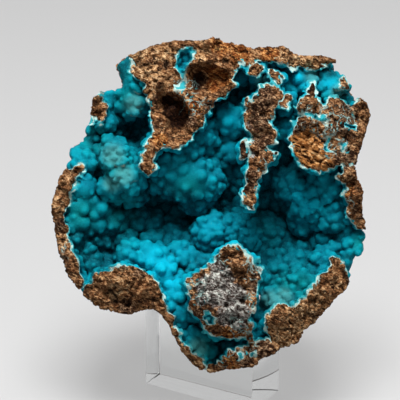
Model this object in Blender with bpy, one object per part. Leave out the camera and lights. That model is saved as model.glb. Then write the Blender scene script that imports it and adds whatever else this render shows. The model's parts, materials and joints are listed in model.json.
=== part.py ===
"""Hemimorphite on limonite: a broken vug lined with a turquoise crust, on a clear block.

The specimen leans back on the block, so its face is described in its own frame, in
millimetres: u to the right, v up the face and w out of it. Outlines and depths that
were read off the picture are in picture pixels and turned into that frame by on_face.
Rock and crust are signed-distance fields, negative inside, meshed and thinned out.
"""

import math

import bmesh
import bpy
import numpy as np
import openvdb
from mathutils import Matrix, Vector

# Real sizes, millimetres and degrees
MM = 0.001
FACE_PER_PIXEL = 0.4
VIEWING_DISTANCE = 640.0
LEAN = math.radians(20.0)
FACE_CENTRE_PX = (210.0, 205.0)
FACE_CENTRE = Vector((-1.2, -30.8, 96.4))
BLOCK_LENGTH = 53.6
BLOCK_WIDTH = 24.2
BLOCK_HEIGHT = 58.8
BLOCK_TURN = math.radians(-31.1)
BACK_DEPTH = 58.0
BACK_INSET = 46.0
CRUST_THICKNESS = 3.5
RIM_THICKNESS = 3.0
CRUST_CLEARANCE = 1.4
BACK_WALL = 8.0
DEEP = 14.0
FIN_TAPER = 0.30
GAP = 0.3
SIDE_CLEARANCE = 1.2
CELL = 1.5
PINCH_OPENING = 0.05
ROCK_TRIANGLES = 3500
CRUST_TRIANGLES = 6200

# Picture outline of the whole specimen, clockwise from the upper left
SPECIMEN_PX = [
    (133, 52), (163, 43), (204, 42), (214, 37), (225, 41), (255, 48), (281, 48), (300, 57),
    (326, 56), (338, 61), (350, 80), (359, 92), (369, 110), (367, 124), (357, 152), (354, 168),
    (360, 190), (361, 212), (366, 228), (363, 250), (354, 260), (348, 280), (332, 300),
    (316, 319), (301, 329), (297, 339), (273, 350), (255, 363), (235, 365), (207, 372),
    (186, 353), (172, 328), (161, 312), (150, 309), (129, 315), (102, 307), (82, 292),
    (68, 270), (57, 240), (55, 200), (66, 160), (67, 145), (82, 134), (90, 115), (93, 95),
    (102, 88), (119, 86), (121, 78), (115, 66), (122, 57),
]

# Picture outlines of the broken brown faces; those on the rim run out past the specimen
TOP_FACE_PX = [
    (127, 40), (210, 20), (300, 30), (345, 55), (330, 64), (304, 68), (294, 69), (282, 61),
    (270, 58), (253, 64), (237, 64), (235, 75), (233, 88), (227, 94), (215, 101), (208, 115),
    (202, 124), (184, 145), (168, 147), (157, 151), (152, 174), (141, 167), (146, 149),
    (153, 128), (149, 102), (144, 84), (132, 70), (129, 58),
]
SMALL_RING_PX = [(249, 66), (258, 63), (262, 69), (256, 75), (249, 74)]
SLANTED_RING_PX = [(270, 68), (276, 68), (284, 81), (277, 82), (269, 75)]
HANGING_FACE_PX = [
    (257, 89), (262, 86), (268, 84), (277, 88), (281, 95), (280, 103), (276, 107), (273, 115),
    (269, 120), (271, 125), (274, 131), (276, 138), (276, 144), (270, 147), (271, 151), (277, 152),
    (274, 159), (268, 168), (259, 176), (255, 200), (249, 209), (242, 201), (243, 188), (246, 178),
    (248, 168), (249, 158), (251, 150), (250, 141), (247, 133), (246, 124), (245, 116), (244, 108),
    (244, 102), (248, 98), (252, 101), (256, 95),
]
RIGHT_FACE_PX = [
    (298, 105), (300, 97), (309, 89), (313, 80), (316, 86), (319, 96), (318, 102), (326, 104),
    (329, 99), (336, 97), (345, 100), (357, 101), (385, 98), (385, 160), (358, 162), (352, 166),
    (346, 168), (338, 165), (331, 168), (323, 173), (311, 171), (301, 166), (293, 152), (289, 145),
    (292, 130), (297, 122), (300, 116), (297, 111),
]
RIGHT_RIM_PX = [
    (336, 173), (343, 171), (350, 167), (380, 165), (385, 230), (366, 228), (357, 227), (349, 216),
    (347, 204), (345, 196), (346, 191), (349, 189), (346, 186), (342, 184), (341, 179), (336, 178),
]
LEFT_RIM_PX = [
    (68, 166), (80, 164), (81, 173), (74, 179), (70, 194), (65, 212), (64, 230), (68, 245),
    (74, 260), (80, 273), (81, 290), (60, 292), (35, 240), (40, 180),
]
LOWER_LEFT_PX = [
    (94, 277), (112, 268), (138, 267), (150, 275), (162, 288), (166, 304), (175, 321),
    (184, 342), (202, 362), (208, 372), (195, 385), (150, 340), (90, 330), (80, 300),
]
PILLAR_FACE_PX = [
    (188, 279), (204, 267), (221, 251), (225, 245), (237, 245), (245, 253), (258, 263),
    (261, 274), (255, 288), (253, 306), (250, 316), (249, 322), (251, 329), (248, 334), (240, 338),
    (227, 336), (209, 335), (204, 323), (196, 312), (190, 304), (191, 293),
]
BOTTOM_FACE_PX = [
    (228, 350), (237, 348), (243, 347), (247, 340), (245, 334), (250, 330), (255, 333), (257, 341),
    (266, 339), (274, 347), (285, 360), (250, 385), (208, 385), (208, 371), (216, 363), (224, 357),
]
LOWER_RIGHT_PX = [
    (265, 319), (270, 311), (281, 304), (293, 304), (306, 296), (315, 283), (324, 273),
    (334, 258), (341, 264), (352, 282), (350, 300), (320, 340), (280, 362), (272, 349),
    (268, 337), (264, 328),
]
SMALL_LEFT_PX = [(92, 93), (100, 89), (104, 117), (98, 121), (91, 118), (80, 124), (82, 100)]

# Brown faces: outline and how much faster than usual they narrow towards the back
BROWN_FACES = [
    (TOP_FACE_PX, 0.8), (SMALL_RING_PX, 0.3), (SLANTED_RING_PX, 0.3), (HANGING_FACE_PX, 0.7),
    (RIGHT_FACE_PX, 0.9), (RIGHT_RIM_PX, 1.2), (LEFT_RIM_PX, 1.2), (LOWER_LEFT_PX, 1.0),
    (PILLAR_FACE_PX, 0.6), (BOTTOM_FACE_PX, 0.8), (LOWER_RIGHT_PX, 1.0), (SMALL_LEFT_PX, 1.0),
]

# Depth of the broken front: picture x, picture y, w in millimetres
FRONT_DEPTHS = [
    (125, 60, -17), (160, 48, -16), (215, 40, -17), (260, 52, -15), (310, 62, -15),
    (345, 85, -17), (370, 115, -19), (200, 75, -11), (160, 90, -9), (165, 125, -5),
    (150, 160, 0), (98, 105, -19), (255, 70, -8), (275, 75, -8), (262, 100, -3), (262, 140, 1),
    (250, 195, 4), (300, 110, -2), (330, 130, -4), (305, 155, 1), (360, 140, -11),
    (350, 195, -10), (370, 230, -14), (58, 235, -15), (62, 185, -16), (78, 285, -13),
    (115, 275, -2), (145, 285, 0), (110, 305, -7), (170, 320, -5), (205, 368, -11),
    (225, 260, 7), (215, 300, 9), (245, 315, 7), (240, 350, 0), (270, 345, -4),
    (285, 315, -1), (325, 285, -3), (345, 285, -10), (300, 335, -9),
]

# Depth of the crust's surface in the hollow, and of the rock's root behind each brown face
HOLLOW_DEPTHS = [
    (122, 66, -20), (133, 85, -21), (142, 118, -36), (122, 130, -40), (104, 108, -24),
    (88, 140, -24), (85, 165, -18), (110, 160, -17), (128, 185, -19), (80, 200, -19),
    (72, 235, -20), (98, 222, -27), (98, 245, -35), (92, 262, -27), (98, 170, -26),
    (98, 182, -26), (130, 212, -38), (150, 200, -42),
    (165, 205, -44), (150, 232, -37), (112, 250, -35), (175, 235, -33), (190, 215, -42),
    (165, 165, -24), (190, 180, -22), (208, 185, -28), (200, 140, -24), (215, 160, -34),
    (225, 200, -42), (228, 128, -26), (226, 90, -34), (240, 78, -36), (232, 160, -32),
    (275, 58, -28), (268, 92, -26), (286, 105, -34), (292, 122, -34), (285, 150, -36),
    (268, 195, -43), (285, 190, -30), (310, 195, -22), (330, 190, -20), (345, 205, -19),
    (270, 212, -43), (285, 225, -40), (305, 228, -36), (330, 232, -28), (355, 245, -21),
    (320, 255, -32), (350, 270, -20), (300, 75, -21), (330, 87, -20), (350, 94, -30),
    (330, 71, -34), (225, 344, -24),
    (318, 68, -26), (285, 88, -22), (212, 232, -26), (238, 232, -28), (265, 235, -33),
    (250, 250, -30), (210, 255, -24), (280, 262, -28), (300, 262, -26), (325, 262, -20),
    (275, 290, -22), (295, 288, -20), (258, 305, -22), (262, 300, -24), (285, 302, -14),
    (128, 255, -19), (155, 262, -17), (182, 262, -21), (172, 285, -14), (190, 305, -16),
    (178, 310, -12), (195, 335, -15), (205, 345, -12), (200, 362, -13), (205, 330, -20),
    (100, 285, -16), (135, 290, -14), (160, 75, -26), (200, 60, -26), (165, 120, -26),
    (255, 110, -24), (262, 140, -24), (250, 190, -34), (325, 120, -24), (320, 150, -28),
    (360, 120, -26), (230, 290, -20), (225, 320, -16), (240, 350, -12), (290, 330, -13),
    (310, 305, -12), (365, 180, -22), (55, 210, -22), (115, 300, -14),
]

# Main rounded masses of the crust: picture x, picture y, w of the centre, radius
MASSES = [
    (123, 64, -24, 7.0), (130, 80, -24, 7.5), (134, 100, -25, 7.0), (107, 122, -26, 4.0),
    (114, 150, -21, 5.5), (119, 160, -18, 6.0), (128, 176, -19, 7.0), (113, 186, -22, 5.5),
    (132, 192, -25, 5.5), (86, 162, -22, 5.0), (84, 188, -21, 5.5), (79, 206, -22, 5.0),
    (76, 222, -22, 4.5), (97, 206, -25, 5.0), (92, 222, -27, 5.0), (80, 242, -29, 5.0),
    (100, 238, -34, 6.0), (112, 220, -33, 6.5), (135, 222, -37, 6.0), (150, 225, -39, 6.0),
    (176, 240, -34, 5.0), (153, 243, -31, 4.5), (92, 262, -28, 4.5), (189, 176, -23, 10.0),
    (173, 163, -21, 8.0), (204, 180, -25, 8.0), (166, 178, -25, 7.0), (196, 198, -29, 6.5),
    (201, 135, -24, 7.0), (212, 154, -30, 6.5), (186, 148, -20, 7.0), (230, 122, -24, 6.0),
    (231, 148, -29, 6.0), (301, 77, -24, 7.5), (328, 86, -23, 5.5), (288, 128, -17, 4.5),
    (284, 84, -22, 4.5), (293, 184, -29, 7.0), (311, 199, -25, 8.0), (326, 186, -22, 6.5),
    (306, 218, -32, 7.0), (333, 216, -26, 7.0), (328, 238, -32, 6.0), (355, 245, -24, 6.0),
    (350, 264, -23, 5.0), (212, 232, -26.5, 7.5), (232, 230, -28, 6.0), (246, 238, -29.5, 5.5),
    (268, 235, -37, 7.5), (280, 240, -36, 5.5), (133, 255, -21, 5.5), (152, 259, -20, 6.5),
    (163, 273, -18, 6.0), (180, 256, -25, 5.5), (176, 294, -17, 6.0), (184, 314, -16, 5.0),
    (194, 338, -15, 5.0), (265, 282, -26, 5.5), (281, 270, -28, 5.5), (297, 264, -28, 5.5),
    (288, 288, -24, 5.5), (303, 282, -22, 5.0), (277, 298, -21, 5.0), (201, 352, -14, 4.5),
    (203, 262, -25, 5.0), (322, 262, -24, 4.5),
]

# Pockets worn into the brown faces: picture x, picture y, w of the centre, radius
POCKETS = [
    (172, 107, -12, 5.8), (177, 118, -12, 6.4), (166, 102, -10, 4.0), (181, 131, -5, 3.8),
    (172, 131, -4, 3.4), (199, 77, -14, 5.8), (211, 81, -13, 6.2), (222, 80, -13, 4.6),
    (196, 87, -12, 3.8), (166, 65, -14, 1.8), (168, 90, -9, 2.0),
    (243, 147, 3, 2.6), (311, 89, 0, 2.4), (141, 68, -12, 2.6), (312, 128, 2, 2.6),
]

# Gritty relief: strength, wavelength
BACK_LUMPS = [(2.2, 34.0), (1.3, 15.0), (0.7, 8.0)]
FRONT_LUMPS = [(1.1, 22.0), (0.9, 9.0)]
GLOBULE_RADII = (2.8, 4.4)
GLOBULE_SPACING = 6.4

BROWN_ROCK = ((0.17, 0.075, 0.035, 1.0), 0.9, 0.0)
TURQUOISE = ((0.02, 0.36, 0.42, 1.0), 0.6, 0.0)
CLEAR_ACRYLIC = ((0.9, 0.93, 0.94, 1.0), 0.05, 0.0)


def clear_scene():
    """Remove whatever objects the scene starts with."""
    for thing in list(bpy.data.objects):
        bpy.data.objects.remove(thing, do_unlink=True)


def material(name, look, transmission=0.0):
    """Principled material with a base colour, a roughness and a metallic value."""
    colour, roughness, metallic = look
    made = bpy.data.materials.new(name)
    made.use_nodes = True
    shader = made.node_tree.nodes["Principled BSDF"]
    shader.inputs["Base Color"].default_value = colour
    shader.inputs["Roughness"].default_value = roughness
    shader.inputs["Metallic"].default_value = metallic
    shader.inputs["Transmission Weight"].default_value = transmission
    made.diffuse_color = colour
    return made


def on_face(x, y, depth):
    """Picture point at a given depth, as u and v on the face; nearer things look larger."""
    nearness = 1.0 - depth / VIEWING_DISTANCE
    u = (x - FACE_CENTRE_PX[0]) * FACE_PER_PIXEL * nearness
    v = (FACE_CENTRE_PX[1] - y) * FACE_PER_PIXEL * nearness
    return u, v


def face_to_world():
    """Frame of the specimen's face: leaning back, above the middle of the block's foot."""
    turn = Matrix(((1, 0, 0), (0, math.sin(LEAN), -math.cos(LEAN)),
                   (0, math.cos(LEAN), math.sin(LEAN))))
    return Matrix.Translation(FACE_CENTRE) @ turn.to_4x4()


def round_outline(points, steps=4):
    """Closed Catmull-Rom curve through the points."""
    knots = np.array(points, float)
    before, after, last = np.roll(knots, 1, 0), np.roll(knots, -1, 0), np.roll(knots, -2, 0)
    rows = []
    for t in np.linspace(0.0, 1.0, steps, endpoint=False):
        rows.append(0.5 * (2 * knots + (after - before) * t
                           + (2 * before - 5 * knots + 4 * after - last) * t ** 2
                           + (3 * knots - before - 3 * after + last) * t ** 3))
    return np.stack(rows, 1).reshape(-1, 2)


def outline_distance(outline, u, v):
    """Signed distance to a closed outline on the face, negative inside."""
    nearest = np.full(u.shape, 1e9)
    inside = np.zeros(u.shape, bool)
    for (au, av), (bu, bv) in zip(outline, np.roll(outline, -1, 0)):
        along = ((u - au) * (bu - au) + (v - av) * (bv - av)) / ((bu - au) ** 2 + (bv - av) ** 2)
        along = np.clip(along, 0.0, 1.0)
        nearest = np.minimum(nearest, np.hypot(u - au - along * (bu - au), v - av - along * (bv - av)))
        crosses = (av > v) != (bv > v)
        side = np.where(crosses, (bu - au) * (v - av) / np.where(bv == av, 1e-9, bv - av) + au, -1e9)
        inside ^= crosses & (u < side)
    return np.where(inside, -nearest, nearest)


def depth_map(samples, u, v, softness):
    """Smooth depth over the face through scattered samples."""
    total = np.zeros(u.shape)
    weight = np.zeros(u.shape)
    for x, y, depth in samples:
        pu, pv = on_face(x, y, depth)
        share = 1.0 / ((u - pu) ** 2 + (v - pv) ** 2 + softness ** 2) ** 2
        total += share * depth
        weight += share
    return total / weight


def ripples(axes, layers, seed):
    """Smooth random relief: sums of plane waves in many directions."""
    u, v, w = axes
    rng = np.random.default_rng(seed)
    total = np.zeros((len(u), len(v), len(w)), np.float32)
    for strength, wavelength in layers:
        for _ in range(12):
            direction = rng.normal(size=3)
            ku, kv, kw = direction / np.linalg.norm(direction) * 2 * math.pi / wavelength
            phase = rng.uniform(0, 2 * math.pi)
            flat = np.exp(1j * (ku * u + phase))[:, None] * np.exp(1j * kv * v)[None, :]
            total += strength / 3.5 * np.real(flat[:, :, None] * np.exp(1j * kw * w)).astype(np.float32)
    return total


def smooth_step(values, low, high):
    """Smooth step from 0 at low to 1 at high."""
    t = np.clip((values - low) / (high - low), 0.0, 1.0)
    return t * t * (3.0 - 2.0 * t)


def joined(a, b, reach):
    """Smooth union of two fields."""
    near = np.maximum(reach - np.abs(a - b), 0.0) / reach
    return np.minimum(a, b) - near * near * reach / 4.0


def cut_by(a, b, reach):
    """Smooth overlap of two fields."""
    return -joined(-a, -b, reach)


def specimen_fields():
    """Fields of the rock, and of everything up to the crust's own surface."""
    axes = (np.arange(-68.0, 70.0, CELL), np.arange(-73.0, 74.0, CELL), np.arange(-74.0, 15.0, CELL))
    u, v = np.meshgrid(axes[0], axes[1], indexing="ij")
    w = axes[2][None, None, :]
    front = depth_map(FRONT_DEPTHS, u, v, 6.0)[:, :, None]
    hollow = depth_map(HOLLOW_DEPTHS, u, v, 3.0)
    slope_u, slope_v = np.gradient(hollow, CELL)
    steepness = np.sqrt(1.0 + slope_u ** 2 + slope_v ** 2)[:, :, None]

    rough_front = w - front + ripples(axes, FRONT_LUMPS, 5)
    hull = hull_field(axes, u, v, w, front)
    fins, rimmed_fins = fin_fields(u, v, w, front)
    floor = (w - hollow[:, :, None]) / steepness
    back_wall = np.maximum(-hull - BACK_WALL, DEEP - front + w)
    rounded = mass_field(axes, joined(floor, back_wall, 3.0))

    rock_inside = joined(rounded + CRUST_THICKNESS, fins, 2.0)
    rock = cut_by(cut_by(hull, worn(rough_front, axes), 1.5), rock_inside, 0.6)
    grown_inside = joined(rounded, rimmed_fins, 2.0)
    grown = np.maximum(np.maximum(hull - 0.2, rough_front + 0.8), grown_inside)
    return axes, rock, grown, rounded


def worn(rough_front, axes):
    """The broken front with pockets worn into it."""
    centres = []
    radii = []
    for x, y, depth, radius in POCKETS:
        centres.append((*on_face(x, y, depth), depth))
        radii.append(radius)
    return -add_balls(-rough_front, axes, centres, radii, 1.5)


def hull_field(axes, u, v, w, front):
    """Outside of the specimen: its outline, drawn in towards the back, clear of the block."""
    around = round_outline([on_face(x, y, -14.0) for x, y in SPECIMEN_PX])
    depth = np.clip((front + 4.0 - w) / BACK_DEPTH, 0.0, 0.97)
    inset = BACK_INSET * (1.0 - np.sqrt(1.0 - depth ** 2))
    slope = BACK_INSET / BACK_DEPTH * depth / np.sqrt(1.0 - depth ** 2)
    beyond = np.maximum(front + 4.0 - w - 0.97 * BACK_DEPTH, 0.0)
    hull = (outline_distance(around, u, v)[:, :, None] + inset) / np.sqrt(1.0 + slope ** 2) + beyond
    calm = 0.2 + 0.8 * smooth_step(front - w, 4.0, 26.0)
    return hull + ripples(axes, BACK_LUMPS, 11) * calm


def fin_fields(u, v, w, front):
    """Broken walls behind the brown faces, bare and with the crust on their sides."""
    fins = np.full(np.broadcast(u[:, :, None], w).shape, 1e3)
    for points, narrowing in BROWN_FACES:
        outline = round_outline([on_face(x, y, -5.0) for x, y in points])
        behind = np.maximum(front - w, 0.0)
        fin = outline_distance(outline, u, v)[:, :, None] + FIN_TAPER * narrowing * behind
        fins = np.minimum(fins, fin)
    return fins, fins - RIM_THICKNESS


def add_balls(field, axes, centres, radii, reach):
    """Join balls to a field, touching only the cells near each one."""
    for centre, radius in zip(centres, radii):
        spans = []
        for axis, middle in zip(axes, centre):
            first = np.searchsorted(axis, middle - radius - reach - CELL)
            last = np.searchsorted(axis, middle + radius + reach + CELL)
            spans.append(slice(first, last))
        du = (axes[0][spans[0]] - centre[0])[:, None, None]
        dv = (axes[1][spans[1]] - centre[1])[None, :, None]
        dw = (axes[2][spans[2]] - centre[2])[None, None, :]
        ball = np.sqrt(du ** 2 + dv ** 2 + dw ** 2) - radius
        window = tuple(spans)
        field[window] = joined(field[window], ball, reach)
    return field


def mass_field(axes, floor):
    """The hollow's floor with its main rounded masses."""
    centres = []
    radii = []
    for x, y, depth, radius in MASSES:
        centres.append((*on_face(x, y, depth), depth))
        radii.append(radius)
    return add_balls(floor.copy(), axes, centres, radii, 2.5)


def globules(points, seed):
    """Spread globules over the crust, each at least a set distance from the others."""
    rng = np.random.default_rng(seed)
    kept = []
    for point in points[rng.permutation(len(points))]:
        if not kept or np.min(np.sum((np.array(kept) - point) ** 2, 1)) > GLOBULE_SPACING ** 2:
            kept.append(point)
    radii = rng.uniform(*GLOBULE_RADII, len(kept))
    return np.array(kept), radii


def surface(field, axes):
    """Points and faces where a field is zero."""
    grid = openvdb.FloatGrid(10.0)
    grid.copyFromArray(np.ascontiguousarray(field, np.float32))
    points, triangles, quads = grid.convertToPolygons(isovalue=0.0, adaptivity=0.0)
    corner = np.array([axis[0] for axis in axes])
    faces = [tuple(face[::-1]) for face in quads.tolist()] + [tuple(face[::-1]) for face in triangles.tolist()]
    return points * CELL + corner, faces


def largest_piece(mesh):
    """Keep only the largest connected piece of a mesh."""
    shape = bmesh.new()
    shape.from_mesh(mesh)
    left = set(shape.verts)
    pieces = []
    while left:
        start = left.pop()
        piece = {start}
        edge_of_piece = [start]
        while edge_of_piece:
            vertex = edge_of_piece.pop()
            for edge in vertex.link_edges:
                other = edge.other_vert(vertex)
                if other in left:
                    left.remove(other)
                    piece.add(other)
                    edge_of_piece.append(other)
        pieces.append(piece)
    pieces.sort(key=len, reverse=True)
    for piece in pieces[1:]:
        bmesh.ops.delete(shape, geom=list(piece), context="VERTS")
    if shape.calc_volume(signed=True) < 0:
        bmesh.ops.reverse_faces(shape, faces=shape.faces)
    shape.to_mesh(mesh)
    shape.free()


def add_object(name, points, faces, look):
    """Object from face-frame millimetres, placed in the world in metres."""
    mesh = bpy.data.meshes.new(name)
    placed = np.array(face_to_world())[:3]
    world = (points @ placed[:, :3].T + placed[:, 3]) * MM
    mesh.from_pydata(world.tolist(), [], faces)
    mesh.materials.append(look)
    largest_piece(mesh)
    made = bpy.data.objects.new(name, mesh)
    bpy.context.scene.collection.objects.link(made)
    return made


def thin_out(thing, triangles):
    """Reduce a mesh to about a number of triangles."""
    reduce = thing.modifiers.new("thin out", "DECIMATE")
    reduce.ratio = triangles / sum(len(face.vertices) - 2 for face in thing.data.polygons)
    bake(thing)


def bake(thing):
    """Turn an object's modifiers into its mesh."""
    depsgraph = bpy.context.evaluated_depsgraph_get()
    mesh = bpy.data.meshes.new_from_object(thing.evaluated_get(depsgraph))
    thing.modifiers.clear()
    thing.data = mesh


def build_rock(axes, rock):
    """Brown limonite: outer shell, broken walls and the bed under the crust."""
    points, faces = surface(rock, axes)
    thing = add_object("limonite_matrix", points, faces, material("brown limonite", BROWN_ROCK))
    thin_out(thing, ROCK_TRIANGLES)
    largest_piece(thing.data)
    cut_away(thing, rest_cutter())
    return thing


def build_crust(axes, grown, rounded, rock_object):
    """Turquoise crust: everything grown on the rock in the hollow, cut by the rock itself."""
    points, _ = surface(np.maximum(grown, -rounded - 1.0), axes)
    centres, radii = globules(points, 3)
    keep = np.array([is_free(grown, rounded, axes, centre) for centre in centres])
    bumpy = add_balls(rounded.copy(), axes, centres[keep] - (0, 0, 1.6), radii[keep], 0.8)
    shell = np.maximum(np.minimum(grown, np.maximum(bumpy, front_limit(grown, rounded))), -rounded - 7.0)
    shell = np.maximum(shell, CRUST_CLEARANCE - rock_distance(rock_object, axes))
    points, faces = surface(shell, axes)
    thing = add_object("hemimorphite_crust", points, faces, material("turquoise crust", TURQUOISE))
    thin_out(thing, CRUST_TRIANGLES)
    largest_piece(thing.data)
    cut_away(thing, rest_cutter())
    open_pinches(thing.data)
    return thing


def rock_distance(rock_object, axes):
    """Distance from the finished rock at every cell of the field."""
    mesh = rock_object.data
    mesh.calc_loop_triangles()
    back = face_to_world().inverted()
    points = np.array([back @ (vertex.co / MM) for vertex in mesh.vertices])
    points -= [axis[0] for axis in axes]
    triangles = np.array([triangle.vertices for triangle in mesh.loop_triangles], np.uint32)
    grid = openvdb.FloatGrid.createLevelSetFromPolygons(
        points.astype(np.float32), triangles=triangles,
        transform=openvdb.createLinearTransform(CELL), halfWidth=4.0)
    distance = np.zeros([len(axis) for axis in axes], np.float32)
    grid.copyToArray(distance)
    return distance


def rest_cutter():
    """Everything below the top of the block, from its two front faces to beyond the back."""
    reach = 200.0
    low = (-reach, -BLOCK_WIDTH / 2 - SIDE_CLEARANCE, -reach)
    high = (BLOCK_LENGTH / 2 + SIDE_CLEARANCE, reach, BLOCK_HEIGHT + GAP)
    size = [(b - a) * MM for a, b in zip(low, high)]
    middle = [(a + b) / 2 * MM for a, b in zip(low, high)]
    turned = Matrix.Rotation(BLOCK_TURN, 4, "Z") @ Matrix.Translation(middle)
    shape = bmesh.new()
    bmesh.ops.create_cube(shape, size=1.0, matrix=turned @ Matrix.Diagonal((*size, 1.0)))
    mesh = bpy.data.meshes.new("rest cutter")
    shape.to_mesh(mesh)
    shape.free()
    return add_cutter("rest", mesh)


def add_cutter(name, mesh):
    """Object that only cuts others."""
    cutter = bpy.data.objects.new(name, mesh)
    cutter.hide_render = True
    cutter.display_type = "WIRE"
    bpy.context.scene.collection.objects.link(cutter)
    return cutter


def cut_away(thing, cutter):
    """Cut one closed mesh out of another, and keep the largest piece."""
    cut = thing.modifiers.new("room for " + cutter.name, "BOOLEAN")
    cut.operation = "DIFFERENCE"
    cut.solver = "MANIFOLD"
    cut.object = cutter
    bake(thing)
    largest_piece(thing.data)
    bpy.data.objects.remove(cutter, do_unlink=True)


def open_pinches(mesh):
    """Draw apart vertices that meet at one point, so that no surface touches itself."""
    shape = bmesh.new()
    shape.from_mesh(mesh)
    shape.normal_update()
    places = {}
    for vertex in shape.verts:
        places.setdefault(tuple(round(c * 1e6) for c in vertex.co), []).append(vertex)
    for meeting in places.values():
        for vertex in meeting if len(meeting) > 1 else ():
            vertex.co -= vertex.normal * PINCH_OPENING * MM
    shape.to_mesh(mesh)
    shape.free()


def is_free(grown, rounded, axes, centre):
    """Whether a point lies on the hollow's own surface and not on a cut or outer side."""
    at = tuple(int(round((c - axis[0]) / CELL)) for c, axis in zip(centre, axes))
    return abs(rounded[at]) < 1.2


def front_limit(grown, rounded):
    """Outside limit of the crust: the part of the grown field that isn't the hollow's."""
    return np.where(grown > rounded + 0.01, grown, -50.0)


def build_block():
    """Clear block with a small bevel on every edge, its underside at the origin."""
    mesh = bpy.data.meshes.new("acrylic_block")
    shape = bmesh.new()
    size = Matrix.Diagonal((BLOCK_LENGTH * MM, BLOCK_WIDTH * MM, BLOCK_HEIGHT * MM, 1.0))
    bmesh.ops.create_cube(shape, size=1.0, matrix=size)
    bmesh.ops.bevel(shape, geom=shape.edges, offset=0.0004, segments=1, affect="EDGES")
    shape.to_mesh(mesh)
    shape.free()
    mesh.materials.append(material("clear acrylic", CLEAR_ACRYLIC, 1.0))
    thing = bpy.data.objects.new("acrylic_block", mesh)
    thing.location.z = BLOCK_HEIGHT / 2 * MM
    thing.rotation_euler.z = BLOCK_TURN
    bpy.context.scene.collection.objects.link(thing)
    return thing


def main():
    clear_scene()
    axes, rock, grown, rounded = specimen_fields()
    rock_object = build_rock(axes, rock)
    build_crust(axes, grown, rounded, rock_object)
    build_block()
    bpy.context.view_layer.update()


if __name__ == "__main__":
    main()
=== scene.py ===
"""Looks of the hemimorphite specimen: broken limonite, botryoidal turquoise crust, clear block.

The stone is worked out in its face's own frame, in millimetres: u to the right, v up the
face and w out of it. Rock and crust are distance fields, negative inside, that are meshed and
coloured by values sampled from the same fields. Geometry Nodes roughen the bare rock.
"""

import json
import math

import bmesh
import bpy
import numpy as np
import openvdb
from bpy.props import FloatProperty, FloatVectorProperty, IntProperty, PointerProperty
from mathutils import Matrix, Vector

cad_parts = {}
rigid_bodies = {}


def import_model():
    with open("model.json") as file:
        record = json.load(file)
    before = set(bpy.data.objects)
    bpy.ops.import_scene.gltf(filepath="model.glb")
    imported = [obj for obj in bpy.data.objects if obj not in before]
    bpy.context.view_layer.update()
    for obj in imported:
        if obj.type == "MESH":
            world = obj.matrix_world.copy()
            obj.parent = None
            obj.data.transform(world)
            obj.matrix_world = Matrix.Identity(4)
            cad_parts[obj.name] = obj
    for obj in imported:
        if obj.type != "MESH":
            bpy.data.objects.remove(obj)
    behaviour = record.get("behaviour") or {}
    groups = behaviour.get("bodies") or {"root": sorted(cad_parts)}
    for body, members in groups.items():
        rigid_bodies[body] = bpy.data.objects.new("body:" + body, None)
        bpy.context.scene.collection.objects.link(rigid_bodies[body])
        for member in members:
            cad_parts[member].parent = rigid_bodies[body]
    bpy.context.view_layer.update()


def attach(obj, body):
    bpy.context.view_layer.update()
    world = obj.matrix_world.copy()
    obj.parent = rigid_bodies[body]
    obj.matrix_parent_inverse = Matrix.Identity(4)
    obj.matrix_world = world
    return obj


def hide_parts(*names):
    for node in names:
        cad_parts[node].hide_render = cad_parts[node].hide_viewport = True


bl_info = {
    "name": "Hemimorphite specimen",
    "version": (1, 0, 0),
    "blender": (4, 5, 0),
    "location": "3D View > Sidebar > Specimen",
    "description": "Limonite with a botryoidal turquoise crust, resting on a clear block",
    "category": "Add Mesh",
}

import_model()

# Real sizes in millimetres and angles, as in the part's source
MM = 0.001
FACE_PER_PIXEL = 0.4
VIEWING_DISTANCE = 640.0
LEAN = math.radians(20.0)
FACE_CENTRE_PX = (210.0, 205.0)
FACE_CENTRE = Vector((-1.2, -30.8, 96.4))
BLOCK_LENGTH = 53.6
BLOCK_WIDTH = 24.2
BLOCK_HEIGHT = 58.8
BLOCK_TURN = math.radians(-31.1)
BACK_DEPTH = 58.0
BACK_INSET = 46.0
BACK_WALL = 8.0
DEEP = 14.0
FIN_TAPER = 0.30
GAP = 0.3
SIDE_CLEARANCE = 1.2

# Span of the fields along u, v and w, and the side of the picture in pixels
REACH = ((-69.0, 71.0), (-74.0, 74.0), (-74.0, 13.0))
PICTURE_SIZE = 400

# Stage in metres: floor and backdrop, place and side of each light; then the light of the room and
# the width of the camera's sensor in millimetres
FLOOR_FRONT = -1.6
FLOOR_BEND = 0.9
FLOOR_CURVE = 0.5
FLOOR_TOP = 2.2
FLOOR_SIDE = 2.5
KEY_PLACE = (0.0, -0.38, 1.2)
KEY_SIZE = 0.6
FILL_PLACE = (0.25, -1.2, 0.65)
FILL_SIZE = 0.8
ROOM_LIGHT = 0.08
SENSOR = 36.0

# Depths at which outlines are drawn, how the hull starts, ends and calms, and how holes narrow
OUTLINE_DEPTH = -14.0
FACE_DEPTH = -5.0
FRONT_MARGIN = 4.0
FULLEST = 0.97
CALM_REACH = (4.0, 26.0)
HOLE_TAPER = 0.35

# Softness of the depth maps in millimetres; that of balls is a share of their radius
FRONT_SOFTNESS = 6.0
HOLLOW_SOFTNESS = 3.0
MASS_SOFTNESS = 0.35
POCKET_SOFTNESS = 0.4
GLOBULE_SOFTNESS = 0.14

# Blurs that creases and recesses are read from: name, reach in millimetres, least number of cells
BLURS = (("fine", 0.9, 1), ("wide", 3.2, 2), ("recess", 7.5, 3))

# Starts of the random ripples
SEEDS = {"hull": 11, "front": 5, "chips": 6, "frills": (21, 22), "rim": 31, "seam": 41}

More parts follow.
